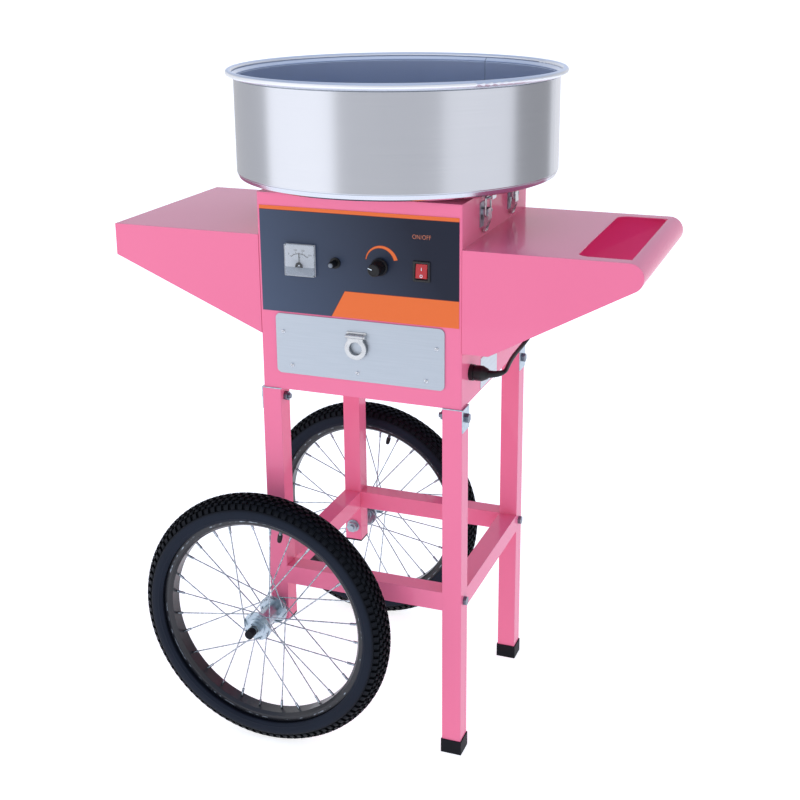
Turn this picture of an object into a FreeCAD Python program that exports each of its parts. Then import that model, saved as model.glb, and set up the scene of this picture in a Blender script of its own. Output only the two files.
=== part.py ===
import FreeCAD, Part
import math
import os
import re
import Sketcher

# Electric cotton candy machine on a two-wheel cart, in millimetres, +Z up, front towards -Y.
# The origin is on the floor, under the middle of the whole machine. Every position below is
# counted from the centre line of the square steel body; CENTRE moves it to the origin.

SIZES = {
    # square steel body
    "box_width": 316,
    "box_depth": 328,
    "box_base": 572,
    "box_height": 300,
    "sheet": 1.5,
    "box_edge": 2,
    # drawer in the front of the body
    "drawer_width": 266,
    "drawer_tall": 93,
    "drawer_base": 598.5,
    "drawer_lap": 8,
    "drawer_deep": 290,
    "drawer_corner": 8,
    "plate": 2,
    "rail_gap": 0.5,
    "runner_wide": 14,
    # control panel
    "film": 0.8,
    "film_width": 308,
    "film_base": 694,
    "film_top": 853,
    "meter_at": -89,
    "meter_up": 775.3,
    "meter_side": 47,
    "meter_proud": 9,
    "meter_barrel": 20,
    "fuse_at": -34,
    "fuse_up": 775,
    "fuse_radius": 6,
    "knob_at": 35.5,
    "knob_up": 775,
    "knob_radius": 13,
    "knob_nose": 8.8,
    "knob_long": 24,
    "dial_shaft": 3,
    "bushing": 5,
    "switch_at": 98.6,
    "switch_up": 773,
    "switch_wide": 26,
    "switch_tall": 30,
    "rocker_tilt": 8,
    # ring pull
    "pull_at": -2.4,
    "pull_hinge_up": 668,
    "pull_drop": 18,
    "pull_radius": 16.8,
    "pull_hole": 10,
    "pull_thick": 3.5,
    "pull_half": 12,
    "knuckle": 3,
    "pin": 1.5,
    # side wings
    "wing_top": 808,
    "wing_back": 322,
    "wing_ledge": 657,
    "left_reach": 403,
    "left_end": 48.5,
    "right_reach": 411.5,
    "nose": 20.75,
    "ledge_wide": 38.9,
    "grip_wide": 76.25,
    "grip_margin": 20,
    "grip_corner": 17,
    "wing_screw_out": 130,
    "wing_screw_in": 20,
    # rating plate
    "plate_near": -74,
    "plate_far": 9.5,
    "plate_low": 574.5,
    "plate_high": 622,
    # cart frame
    "tube": 30,
    "tube_wall": 1.5,
    "leg_proud": 1.5,
    "rail_base": 246,
    "left_leg_foot": 182,
    "cap_tall": 23,
    "cap_flare": 1.5,
    "cap_floor": 3,
    "cap_lip": 3,
    "cap_on": 9,
    "bracket_tall": 35,
    "bolt": 4,
    "bolt_drop": 16,
    "screw": 2,
    # wheels
    "wheel_radius": 208,
    "wheel_out": 216,
    "tyre_section": 25,
    "tyre_wall": 4,
    "rim_radius": 172,
    "rim_inner": 160,
    "rim_half": 15,
    "hub_half": 32,
    "flange_out": 27.5,
    "flange_radius": 23,
    "hub_barrel": 13,
    "axle": 5,
    "axle_beyond": 22,
    "axle_inner": 122,
    "spoke": 1,
    "spoke_pairs": 14,
    "nipple": 12,
    "nipple_spread": 3,
    "valve": 3,
    "valve_long": 23,
    "front_valve": -78,
    "rear_valve": -75,
    # bowl
    "bowl_radius": 243.5,
    "bowl_base": 882,
    "bowl_rim": 1042,
    "bowl_wall": 1.2,
    "bowl_corner": 10,
    "roll": 4.5,
    "roll_centre": 250.5,
    "bowl_eye": 30,
    "seat_ring": 120,
    "seat_wall": 6,
    # drive and spinning head
    "motor_radius": 45,
    "motor_tall": 62,
    "motor_drop": 22,
    "stud_at": 24,
    "shaft": 5,
    "shaft_eye": 14,
    "slip_ring": 12,
    "head_radius": 56,
    "head_base": 905,
    "head_tall": 40,
    "funnel": 30,
    # latches
    "latch_at": 70,
    "pivot_out": 8,
    "pivot_up": 846,
    "throw": 6,
    "wire": 1.5,
    "wire_up": 868,
    "bail_half": 13,
    "lever_tip": 815,
    "lever_half": 8.2,
    "lever_in": 5,
    "strike_half": 9,
    # mains cord
    "gland_at": -123,
    "gland_up": 617,
    "gland_radius": 12,
    "gland_neck": 8,
    "gland_long": 27,
    "cord_radius": 3.25,
    "hank_tall": 46,
    # fits
    "fit": 0.05,
    "slack": 0.3,
}

CENTRE = "(left_reach - right_reach)/2"
SIDE = "box_width/2"
FRONT = "(0 - box_depth/2)"
BOX_TOP = "(box_base + box_height)"
BOX_FLOOR = "(box_base + sheet)"
LEG_X = "(box_width/2 + leg_proud - tube/2)"
LEG_Y = "(box_depth/2 + leg_proud - tube/2)"
AXLE_TIP = "(wheel_out + hub_half + axle_beyond)"
LEG_TOP = "(box_base - sheet)"
BRACKET_BOLT_UP = "(box_base - bolt_drop)"
RAIL_MID = "(rail_base + tube/2)"
NOSE_X = "(right_reach - nose)"
NOSE_Z = "(wing_top - nose)"

PLACES = {"front_left": (-1, -1), "rear_left": (-1, 1), "front_right": (1, -1), "rear_right": (1, 1)}

doc = FreeCAD.newDocument("CottonCandyMachine")
sheet = doc.addObject("Spreadsheet::Sheet", "Sizes")
for row, (alias, number) in enumerate(SIZES.items(), start=1):
    sheet.set(f"A{row}", alias)
    sheet.set(f"B{row}", str(number))
    sheet.setAlias(f"B{row}", alias)
doc.recompute()

NODES = []


# ---------------------------------------------------------------- document helpers

def formula(text):
    """An expression in size names as FreeCAD reads it."""
    return re.sub(r"[a-z_]{3,}", lambda word: f"Sizes.{word[0]}" if word[0] in SIZES else word[0], str(text))


def size(text):
    """The value of an expression in size names."""
    return float(sheet.evalExpression(formula(text)))


def bind(item, path, text):
    item.setExpression(path, formula(text))


def settle(item, at, turn=None):
    """Places an object at expressions, with an optional (axis, degrees) turn."""
    if turn:
        rotation = FreeCAD.Rotation(FreeCAD.Vector(*turn[0]), turn[1])
        item.Placement = FreeCAD.Placement(FreeCAD.Vector(), rotation)
    for letter, text in zip("xyz", at):
        bind(item, f"Placement.Base.{letter}", text)
    return item


def node(label, item, at=("0", "0", "0"), turn=None):
    """Names a finished sub-part and places it on the machine's centre line."""
    item.Label = label
    settle(item, (f"{CENTRE} + ({at[0]})", at[1], at[2]), turn)
    NODES.append(item)
    return item


def named(prefix):
    return f"{prefix}{len(doc.Objects)}"


# Turns that lay a shape made along +Z along another axis.
ALONG = {"x": ((0, 1, 0), 90), "y": ((1, 0, 0), -90), "z": ((0, 0, 1), 0)}


def box(low, high):
    """Part box between two corners given as expressions."""
    item = doc.addObject("Part::Box", named("Box"))
    for name, a, b in zip(("Length", "Width", "Height"), low, high):
        bind(item, name, f"({b}) - ({a})")
    return settle(item, low)


def cylinder(axis, at, radius, length):
    item = doc.addObject("Part::Cylinder", named("Cylinder"))
    bind(item, "Radius", radius)
    bind(item, "Height", length)
    return settle(item, at, ALONG[axis])


def hexagon(axis, at, radius, length):
    item = doc.addObject("Part::Prism", named("Prism"))
    item.Polygon = 6
    bind(item, "Circumradius", radius)
    bind(item, "Height", length)
    return settle(item, at, ALONG[axis])


def cut(base, tool):
    item = doc.addObject("Part::Cut", named("Cut"))
    item.Base = base
    item.Tool = tool
    return item


def fuse(*shapes):
    item = doc.addObject("Part::MultiFuse", named("Fusion"))
    item.Shapes = list(shapes)
    return item


def group(shapes):
    item = doc.addObject("Part::Compound", named("Group"))
    item.Links = list(shapes)
    return item


def ring(axis, at, outer, inner, length):
    return cut(cylinder(axis, at, outer, length), cylinder(axis, at, inner, length))


def nut(axis, at, radius, hole, length):
    return cut(hexagon(axis, at, radius, length), cylinder(axis, at, hole, length))


# ---------------------------------------------------------------- PartDesign helpers

PLANES = {"z": "XY_Plane", "y": "XZ_Plane", "x": "YZ_Plane"}


def new_body():
    return doc.addObject("PartDesign::Body", named("Body"))


def sketch_on(body, axis, level):
    """Sketch on the origin plane across an axis, moved to a level along it."""
    plane = next(item for item in body.Origin.OriginFeatures if item.Role == PLANES[axis])
    sketch = body.newObject("Sketcher::SketchObject", named("Sketch"))
    sketch.AttachmentSupport = [(plane, "")]
    sketch.MapMode = "FlatFace"
    bind(sketch, "AttachmentOffset.Base.z", f"0 - ({level})" if axis == "y" else level)
    return sketch


def pin_down(sketch, kind, item, point, text):
    index = sketch.addConstraint(Sketcher.Constraint(kind, -1, 1, item, point, size(text)))
    bind(sketch, f"Constraints[{index}]", text)


def outline(sketch, corners):
    """Closed polygon whose corners are pairs of expressions."""
    first = sketch.GeometryCount
    count = len(corners)
    spots = [FreeCAD.Vector(size(a), size(b), 0) for a, b in corners]
    for index in range(count):
        sketch.addGeometry(Part.LineSegment(spots[index], spots[(index + 1) % count]))
    for index in range(count):
        after = first + (index + 1) % count
        sketch.addConstraint(Sketcher.Constraint("Coincident", first + index, 2, after, 1))
    for index, (a, b) in enumerate(corners):
        pin_down(sketch, "DistanceX", first + index, 1, a)
        pin_down(sketch, "DistanceY", first + index, 1, b)


def circle(sketch, centre, radius):
    middle = FreeCAD.Vector(size(centre[0]), size(centre[1]), 0)
    index = sketch.addGeometry(Part.Circle(middle, FreeCAD.Vector(0, 0, 1), size(radius)))
    pin_down(sketch, "DistanceX", index, 3, centre[0])
    pin_down(sketch, "DistanceY", index, 3, centre[1])
    limit = sketch.addConstraint(Sketcher.Constraint("Radius", index, size(radius)))
    bind(sketch, f"Constraints[{limit}]", radius)


def draw(sketch, loops):
    """Loops are polygons (lists of corners) or circles (centre, radius)."""
    for loop in loops:
        if isinstance(loop, list):
            outline(sketch, loop)
        else:
            circle(sketch, *loop)


def slab(body, axis, loops, start, end, kind="Pad"):
    """Pads (or pockets) loops drawn across an axis from start to end along it."""
    level = end if axis == "y" else start
    sketch = sketch_on(body, axis, level)
    draw(sketch, loops)
    item = body.newObject(f"PartDesign::{kind}", named(kind))
    item.Profile = sketch
    bind(item, "Length", f"({end}) - ({start})")
    if kind == "Pocket":
        item.Reversed = True
    return item


def turned(body, axis, loops, kind="Revolution"):
    """Turns loops of (radius, height) corners about the body's own Z or Y axis."""
    sketch = sketch_on(body, "y" if axis == "z" else "z", "0")
    draw(sketch, loops)
    item = body.newObject(f"PartDesign::{kind}", named(kind))
    item.Profile = sketch
    item.ReferenceAxis = (sketch, ["V_Axis"])
    item.Angle = 360
    return item


def primitive(body, kind, at, turn, sizes):
    item = body.newObject(f"PartDesign::{kind}", named(kind))
    for name, text in sizes.items():
        bind(item, name, text)
    return settle(item, at, turn)


def bore(body, axis, at, radius, length):
    return primitive(body, "SubtractiveCylinder", at, ALONG[axis], {"Radius": radius, "Height": length})


def rod(body, axis, at, radius, length):
    return primitive(body, "AdditiveCylinder", at, ALONG[axis], {"Radius": radius, "Height": length})


def corner_sizes(low, high):
    return {name: f"({b}) - ({a})" for name, a, b in zip(("Length", "Width", "Height"), low, high)}


def hollow(body, low, high):
    return primitive(body, "SubtractiveBox", low, None, corner_sizes(low, high))


def block(body, low, high):
    return primitive(body, "AdditiveBox", low, None, corner_sizes(low, high))


def round_edges(body, axis, radius):
    """Rounds every straight edge of the body that runs along an axis."""
    doc.recompute()
    base = body.Tip
    names = []
    for index, edge in enumerate(base.Shape.Edges, start=1):
        if not isinstance(edge.Curve, Part.Line):
            continue
        if abs(getattr(edge.tangentAt(edge.FirstParameter), axis)) > 0.999:
            names.append(f"Edge{index}")
    item = body.newObject("PartDesign::Fillet", named("Fillet"))
    item.Base = (base, names)
    bind(item, "Radius", radius)
    return item


def rectangle(left, bottom, right, top):
    return [(left, bottom), (right, bottom), (right, top), (left, top)]


# ---------------------------------------------------------------- square body

DRAWER_LEFT = "(0 - drawer_width/2 + drawer_lap)"
DRAWER_RIGHT = "(drawer_width/2 - drawer_lap)"
DRAWER_LOW = "(drawer_base + drawer_lap)"
DRAWER_HIGH = "(drawer_base + drawer_tall - drawer_lap)"
FILM_FACE = "(0 - box_depth/2 - film)"
PLATE_FACE = "(0 - box_depth/2 - plate)"


def instrument_holes(body, start, depth):
    """Holes for the meter, the fuse, the knob's bushing and the switch, through one sheet."""
    bore(body, "y", ("meter_at", start, "meter_up"), "meter_barrel + slack", depth)
    bore(body, "y", ("fuse_at", start, "fuse_up"), "fuse_radius + slack", depth)
    bore(body, "y", ("knob_at", start, "knob_up"), "bushing + slack", depth)
    wide = "(switch_wide/2 - 2 + slack)"
    tall = "(switch_tall/2 - 2 + slack)"
    hollow(
        body,
        (f"switch_at - {wide}", start, f"switch_up - {tall}"),
        (f"switch_at + {wide}", f"{start} + {depth}", f"switch_up + {tall}"),
    )


def body_shell():
    """Folded sheet box, open at the top, cut for the drawer, the instruments and the gland."""
    body = new_body()
    slab(body, "z", [rectangle(f"0 - {SIDE}", FRONT, SIDE, "box_depth/2")], "box_base", f"{BOX_TOP} - sheet")
    round_edges(body, "z", "box_edge")
    hollow(
        body,
        (f"sheet - {SIDE}", f"{FRONT} + sheet", BOX_FLOOR),
        (f"{SIDE} - sheet", "box_depth/2 - sheet", BOX_TOP),
    )
    outside = f"({FRONT} - sheet)"
    hollow(body, (DRAWER_LEFT, outside, DRAWER_LOW), (DRAWER_RIGHT, f"{outside} + 3*sheet", DRAWER_HIGH))
    instrument_holes(body, outside, "3*sheet")
    bore(body, "x", (f"{SIDE} - 2*sheet", "gland_at", "gland_up"), "gland_neck + slack", "3*sheet")
    for side, end in PLACES.values():
        leg = (f"{side}*{LEG_X}", f"{end}*{LEG_Y}", "box_base - sheet")
        bore(body, "z", leg, "bolt + slack", "3*sheet")
        for up in WING_SCREWS_UP:
            start = (f"{side}*{SIDE} - 2*sheet", f"{end}*wing_screw_out", up)
            bore(body, "x", start, "screw + slack", "4*sheet")
    node("body_shell", body)


def top_plate():
    """Lid of the body with a raised ring that carries the bowl."""
    body = new_body()
    slab(body, "z", [rectangle(f"0 - {SIDE}", FRONT, SIDE, "box_depth/2")], f"{BOX_TOP} - sheet", BOX_TOP)
    round_edges(body, "z", "box_edge")
    slab(body, "z", [(("0", "0"), "seat_ring + seat_wall"), (("0", "0"), "seat_ring")], BOX_TOP, "bowl_base")
    under = f"{BOX_TOP} - 2*sheet"
    bore(body, "z", ("0", "0", under), "shaft_eye", "4*sheet")
    for side, end in PLACES.values():
        bore(body, "z", (f"{side}*stud_at", f"{end}*stud_at", under), "screw + slack", "4*sheet")
    node("top_plate", body)


def panel_film():
    """Printed film on the front of the body, round the instruments."""
    body = new_body()
    slab(
        body, "y", [rectangle("0 - film_width/2", "film_base", "film_width/2", "film_top")],
        FILM_FACE, FRONT,
    )
    instrument_holes(body, f"({FILM_FACE} - film)", "3*film")
    node("panel_film", body)


def rating_plate():
    """Bare metal plate on the right side, low down."""
    body = new_body()
    slab(body, "x", [rectangle("plate_near", "plate_low", "plate_far", "plate_high")], SIDE, f"{SIDE} + 0.5")
    node("rating_plate", body)


# ---------------------------------------------------------------- side wings

WING_SCREWS_UP = ("wing_top - wing_screw_in", "wing_ledge + wing_screw_in")
WING_BACK = f"({FRONT} + wing_back)"
LEDGE_X = f"({SIDE} + ledge_wide)"
NOSE_RUN = f"({NOSE_X} - {LEDGE_X})"
NOSE_RISE = f"({NOSE_Z} - wing_ledge)"
WING_SLOPE = f"(atan({NOSE_RISE}/{NOSE_RUN}) - asin(nose/sqrt({NOSE_RUN}^2 + {NOSE_RISE}^2)))"
NOSE_LOW_X = f"({NOSE_X} + nose*sin({WING_SLOPE}))"
NOSE_LOW_Z = f"({NOSE_Z} - nose*cos({WING_SLOPE}))"


def wing_screw_holes(body, start):
    for end in (-1, 1):
        for up in WING_SCREWS_UP:
            bore(body, "x", (start, f"{end}*wing_screw_out", up), "screw + slack", "4*sheet")


def wing_left():
    """Folded shelf, open underneath, with a straight slanting lower edge."""
    body = new_body()
    end = "(0 - left_reach)"
    near = f"(0 - {SIDE})"
    profile = [(near, "wing_top"), (end, "wing_top"), (end, "wing_top - left_end"), (near, "wing_ledge")]
    slab(body, "y", [profile], FRONT, WING_BACK)
    hollow(
        body,
        (f"{end} + sheet", f"{FRONT} + sheet", "wing_ledge - sheet"),
        (f"{near} - sheet", f"{WING_BACK} - sheet", "wing_top - sheet"),
    )
    wing_screw_holes(body, f"{near} - 2*sheet")
    node("wing_left", body)


def wing_right():
    """Folded shelf with a rolled nose, a hand hole beside it and a ledge by the body."""
    body = new_body()
    profile = [
        (SIDE, "wing_top"), (SIDE, "wing_ledge"), (LEDGE_X, "wing_ledge"),
        (NOSE_LOW_X, NOSE_LOW_Z), (NOSE_X, NOSE_Z), (NOSE_X, "wing_top"),
    ]
    slab(body, "y", [profile], FRONT, WING_BACK)
    rod(body, "y", (NOSE_X, FRONT, NOSE_Z), "nose", "wing_back")
    inner = "(nose - sheet)"
    beyond = "(nose + 2*sheet)"
    room = [
        (f"{SIDE} + sheet", "wing_top - sheet"), (f"{SIDE} + sheet", "wing_ledge + sheet"),
        (LEDGE_X, "wing_ledge + sheet"), (LEDGE_X, "wing_ledge - 2*sheet"),
        (f"{NOSE_X} + {beyond}*sin({WING_SLOPE})", f"{NOSE_Z} - {beyond}*cos({WING_SLOPE})"),
        (NOSE_X, NOSE_Z), (NOSE_X, "wing_top - sheet"),
    ]
    slab(body, "y", [room], f"{FRONT} + sheet", f"{WING_BACK} - sheet", "Pocket")
    bore(body, "y", (NOSE_X, f"{FRONT} + sheet", NOSE_Z), inner, "wing_back - 2*sheet")
    low = (f"({NOSE_X} - grip_wide)", f"{FRONT} + grip_margin", "wing_top - 2*sheet")
    high = (NOSE_X, f"{WING_BACK} - grip_margin", "wing_top + sheet")
    hollow(body, (f"{low[0]} + grip_corner", low[1], low[2]), high)
    hollow(
        body, (low[0], f"{low[1]} + grip_corner", low[2]),
        (f"{low[0]} + grip_corner + sheet", f"{high[1]} - grip_corner", high[2]),
    )
    for y in (f"{low[1]} + grip_corner", f"{high[1]} - grip_corner"):
        bore(body, "z", (f"{low[0]} + grip_corner", y, low[2]), "grip_corner", "3*sheet")
    wing_screw_holes(body, f"{SIDE} - sheet")
    node("wing_right", body)


def body_screws():
    """Screws and nuts that hold the wings, and the studs that hang the motor."""
    pieces = []
    head = "(2*screw)"
    for side, end in PLACES.values():
        y = f"{end}*wing_screw_out"
        for up in WING_SCREWS_UP:
            inside = f"({SIDE} - sheet)"
            outside = f"({SIDE} + sheet)"
            nut_tall = "1.6*screw"
            if side < 0:
                inside, outside = f"(0 - {SIDE} + sheet)", f"(0 - {SIDE} - sheet)"
                shank = cylinder("x", (f"{outside} - 3*screw", y, up), "screw", f"3*screw + 2*sheet")
                cap = cylinder("x", (inside, y, up), head, "1.2*screw")
                seat = f"{outside} - {nut_tall}"
            else:
                shank = cylinder("x", (inside, y, up), "screw", f"3*screw + 2*sheet")
                cap = cylinder("x", (f"{inside} - 1.2*screw", y, up), head, "1.2*screw")
                seat = outside
            pieces.append(fuse(shank, cap))
            pieces.append(nut("x", (seat, y, up), "1.9*screw", "screw + fit", nut_tall))
        at = (f"{side}*stud_at", f"{end}*stud_at")
        spacer = cylinder("z", (*at, f"{BOX_TOP} - motor_drop"), "4", "motor_drop - sheet")
        shank = cylinder("z", (*at, f"{BOX_TOP} - 2*sheet"), "screw", "2*sheet + 1")
        cap = cylinder("z", (*at, BOX_TOP), head, "1.2*screw")
        pieces.append(fuse(spacer, shank, cap))
    node("body_screws", group(pieces))


# ---------------------------------------------------------------- instruments

def meter_body():
    """Square flange and round case of the panel voltmeter."""
    body = new_body()
    half = "meter_side/2"
    flange = rectangle(
        f"meter_at - {half}", f"meter_up - {half}", f"meter_at + {half}", f"meter_up + {half}",
    )
    slab(body, "y", [flange], METER_DIAL, FILM_FACE)
    rod(body, "y", ("meter_at", f"{METER_DIAL} + 1", "meter_up"), "meter_barrel", "36")
    node("voltmeter_body", body)


METER_DIAL = f"({FILM_FACE} - meter_proud/3)"
NEEDLE_UP = "(meter_up - meter_side/6)"


def meter_needle():
    """Pointer on its hub, in the gap between dial and lens."""
    body = new_body()
    back = f"({METER_DIAL} - 3)"
    rod(body, "y", ("meter_at", back, NEEDLE_UP), "2.2", "2.7")
    block(
        body,
        ("meter_at - 0.5", f"{back} + 1", NEEDLE_UP),
        ("meter_at + 0.5", f"{back} + 1.6", f"{NEEDLE_UP} + meter_side/2 - 6"),
    )
    node("voltmeter_needle", body)


def meter_lens():
    """Clear cover over the dial."""
    body = new_body()
    front = f"({FILM_FACE} - meter_proud)"
    half = "meter_side/2"
    cover = rectangle(
        f"meter_at - {half}", f"meter_up - {half}", f"meter_at + {half}", f"meter_up + {half}",
    )
    slab(body, "y", [cover], front, METER_DIAL)
    wall = "(meter_side/2 - sheet)"
    hollow(
        body,
        (f"meter_at - {wall}", f"{front} + sheet", f"meter_up - {wall}"),
        (f"meter_at + {wall}", f"{METER_DIAL} + 1", f"meter_up + {wall}"),
    )
    node("voltmeter_lens", body)


def fuse_holder():
    """Panel fuse holder: flange in front, barrel behind, ring nut inside."""
    body = new_body()
    rod(body, "y", ("fuse_at", f"{FILM_FACE} - 3", "fuse_up"), "fuse_radius + 2", "3")
    rod(body, "y", ("fuse_at", f"{FILM_FACE} - 1", "fuse_up"), "fuse_radius", "30")
    bore(body, "y", ("fuse_at", f"{FILM_FACE} - 4", "fuse_up"), "fuse_radius - 1.5", "28")
    inside = ("fuse_at", f"{FRONT} + sheet", "fuse_up")
    ring_nut = nut("y", inside, "fuse_radius + 4", "fuse_radius + fit", "3")
    node("fuse_holder", group([body, ring_nut]))


def fuse_cap():
    """Fluted cap that turns in the holder and carries the fuse."""
    body = new_body()
    front = f"({FILM_FACE} - 19)"
    rod(body, "y", ("fuse_at", front, "fuse_up"), "fuse_radius - 1", "15.7")
    rod(body, "y", ("fuse_at", f"{front} + 15", "fuse_up"), "fuse_radius - 1.5 - fit", "10")
    node("fuse_cap", body)


KNOB_BACK = f"({FILM_FACE} - 2.8)"


def control_knob():
    """Tapered knob and the shaft that turns with it."""
    body = new_body()
    half = [("0", "0 - knob_long"), ("knob_nose", "0 - knob_long"), ("knob_radius", "0"), ("0", "0")]
    turned(body, "y", [half])
    bore(body, "y", ("0", "0 - knob_long*0.7", "0"), "dial_shaft + fit", "knob_long")
    settle(body, ("knob_at", KNOB_BACK, "knob_up"))
    tip = ("knob_at", f"{KNOB_BACK} - knob_long*0.65", "knob_up")
    shaft = cylinder("y", tip, "dial_shaft", "knob_long*0.65 + 16")
    node("control_knob", group([body, shaft]))


BOARD_Y = "(0 - box_depth/2 + 18)"


def control_board():
    """Circuit board with the potentiometer that the knob turns and two parts beside it."""
    body = new_body()
    low = ("knob_at - 30", BOARD_Y, "knob_up - 35")
    block(body, low, ("knob_at + 42", f"{BOARD_Y} + 1.6", "knob_up + 30"))
    low = ("knob_at + 16", f"{BOARD_Y} - 10", "knob_up - 30")
    block(body, low, ("knob_at + 34", BOARD_Y, "knob_up - 14"))
    rod(body, "y", ("knob_at - 18", f"{BOARD_Y} - 12", "knob_up - 24"), "6", "12.5")
    hole = ("knob_at", f"{BOARD_Y} - 1", "knob_up")
    bore(body, "y", hole, "dial_shaft + 1", "4")
    inside = f"({FRONT} + sheet)"
    pot = new_body()
    rod(pot, "y", ("knob_at", inside, "knob_up"), "12", f"{BOARD_Y} - {inside}")
    rod(pot, "y", ("knob_at", f"{FILM_FACE} - 2.2", "knob_up"), "bushing", "8")
    bore(pot, "y", ("knob_at", f"{FILM_FACE} - 3", "knob_up"), "dial_shaft + fit", "24")
    ring_nut = nut("y", ("knob_at", f"{FILM_FACE} - 2", "knob_up"), "bushing + 3", "bushing + fit", "2")
    node("control_board", group([body, pot, ring_nut]))


def switch_housing():
    """Black frame and case of the rocker switch."""
    body = new_body()
    left, right = "switch_at - switch_wide/2", "switch_at + switch_wide/2"
    low, high = "switch_up - switch_tall/2", "switch_up + switch_tall/2"
    slab(body, "y", [rectangle(left, low, right, high)], f"{FILM_FACE} - 2.5", FILM_FACE)
    block(
        body,
        (f"{left} + 2", f"{FILM_FACE} - 1", f"{low} + 2"),
        (f"{right} - 2", f"{FILM_FACE} + 24", f"{high} - 2"),
    )
    hollow(
        body,
        (f"{left} + 4", f"{FILM_FACE} - 3", f"{low} + 4"),
        (f"{right} - 4", f"{FILM_FACE} + 10", f"{high} - 4"),
    )
    pivot = ("switch_at - switch_wide/2 + 2.5", ROCKER_AXIS_Y, "switch_up")
    rod(body, "x", pivot, "pin", "switch_wide - 5")
    node("switch_housing", body)


ROCKER_AXIS_Y = f"({FILM_FACE} + 2)"


def switch_rocker():
    """Red rocker on the housing's pin, tipped in at its top."""
    body = new_body()
    half = "(switch_tall/2 - 4.8)"
    profile = [
        ("2", f"0 - {half} + 1.5"), ("2", f"{half} - 1.5"), ("0 - 4", half), ("0 - 4.4", "1"),
        ("0 - 4.4", "0 - 1"), ("0 - 4", f"0 - {half}"),
    ]
    slab(body, "x", [profile], "4.6 - switch_wide/2", "switch_wide/2 - 4.6")
    bore(body, "x", ("0 - switch_wide/2", "0", "0"), "pin + fit", "switch_wide")
    settle(body, ("switch_at", ROCKER_AXIS_Y, "switch_up"), ((-1, 0, 0), SIZES["rocker_tilt"]))
    bind(body, "Placement.Rotation.Angle", "rocker_tilt")
    node("switch_rocker", group([body]))


# ---------------------------------------------------------------- drawer

TRAY_HALF = f"({DRAWER_RIGHT} - rail_gap)"
TRAY_LOW = f"({DRAWER_LOW} + rail_gap)"
TRAY_HIGH = f"({DRAWER_HIGH} - 3)"
DRAWER_SCREWS = (
    ("0 - drawer_width/2 + 12", "drawer_base + drawer_tall*0.7"),
    ("drawer_width/2 - 12", "drawer_base + drawer_tall*0.67"),
    ("0 - drawer_width/2 + 25", "drawer_base + 13.5"),
    ("pull_at", "drawer_base + 12.5"),
    ("drawer_width/2 - 28", "drawer_base + 12.5"),
)


def drawer_screw_holes(body):
    for x, up in DRAWER_SCREWS:
        bore(body, "y", (x, f"{PLATE_FACE} - 1", up), "screw + fit", "plate + 6")


def drawer_tray():
    """Open sheet tray behind the drawer front."""
    body = new_body()
    slab(
        body, "z", [rectangle(f"0 - {TRAY_HALF}", FRONT, TRAY_HALF, f"{FRONT} + drawer_deep")],
        TRAY_LOW, TRAY_HIGH,
    )
    hollow(
        body,
        (f"sheet - {TRAY_HALF}", f"{FRONT} + sheet", f"{TRAY_LOW} + sheet"),
        (f"{TRAY_HALF} - sheet", f"{FRONT} + drawer_deep - sheet", f"{TRAY_HIGH} + 1"),
    )
    drawer_screw_holes(body)
    node("drawer_tray", body)


def drawer_front():
    """Steel plate with rounded corners over the drawer opening."""
    body = new_body()
    face = rectangle("0 - drawer_width/2", "drawer_base", "drawer_width/2", "drawer_base + drawer_tall")
    slab(body, "y", [face], PLATE_FACE, FRONT)
    round_edges(body, "y", "drawer_corner")
    drawer_screw_holes(body)
    node("drawer_front", body)


def drawer_screws():
    """Pan-head screws through the drawer front and the tray."""
    pieces = []
    for x, up in DRAWER_SCREWS:
        head = cylinder("y", (x, f"{PLATE_FACE} - 1.8", up), "1.7*screw", "1.8")
        shank = cylinder("y", (x, f"{PLATE_FACE} - 1", up), "screw", "plate + sheet + 4")
        pieces.append(fuse(head, shank))
    node("drawer_screws", group(pieces))


def drawer_runners():
    """Two channels on the floor of the body, just under the tray."""
    pieces = []
    top = f"({TRAY_LOW} - slack)"
    near, far = f"{FRONT} + sheet", f"{FRONT} + drawer_deep"
    for side in (-1, 1):
        body = new_body()
        outer, inner = f"{side}*({TRAY_HALF} - 8)", f"{side}*({TRAY_HALF} - 8 - runner_wide)"
        web = f"{side}*({TRAY_HALF} - 8 - sheet)"
        profile = [
            (outer, BOX_FLOOR), (outer, top), (inner, top), (inner, f"{top} - sheet"),
            (web, f"{top} - sheet"), (web, f"{BOX_FLOOR} + sheet"),
            (inner, f"{BOX_FLOOR} + sheet"), (inner, BOX_FLOOR),
        ]
        slab(body, "y", [profile], near, far)
        pieces.append(body)
    node("drawer_runners", group(pieces))


PULL_AXIS_Y = f"({PLATE_FACE} - sheet - knuckle - slack)"


def pull_base():
    """Hinge plate of the ring pull with two ears and their pin."""
    body = new_body()
    reach = "(pull_half + slack + 3)"
    low, high = "pull_hinge_up - knuckle - 1", "pull_hinge_up + knuckle + 3"
    slab(
        body, "y", [rectangle(f"pull_at - {reach}", low, f"pull_at + {reach}", high)],
        f"{PLATE_FACE} - sheet", PLATE_FACE,
    )
    for side in (-1, 1):
        start = f"pull_at + {side}*(pull_half + slack + 1.5) - 1.5"
        rod(body, "x", (start, PULL_AXIS_Y, "pull_hinge_up"), "knuckle", "3")
        block(
            body,
            (start, PULL_AXIS_Y, "pull_hinge_up - knuckle"),
            (f"{start} + 3", f"{PLATE_FACE} - sheet/2", "pull_hinge_up + knuckle"),
        )
    rod(body, "x", (f"pull_at - {reach} + 1", PULL_AXIS_Y, "pull_hinge_up"), "pin", f"2*{reach} - 2")
    node("pull_base", body)


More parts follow.
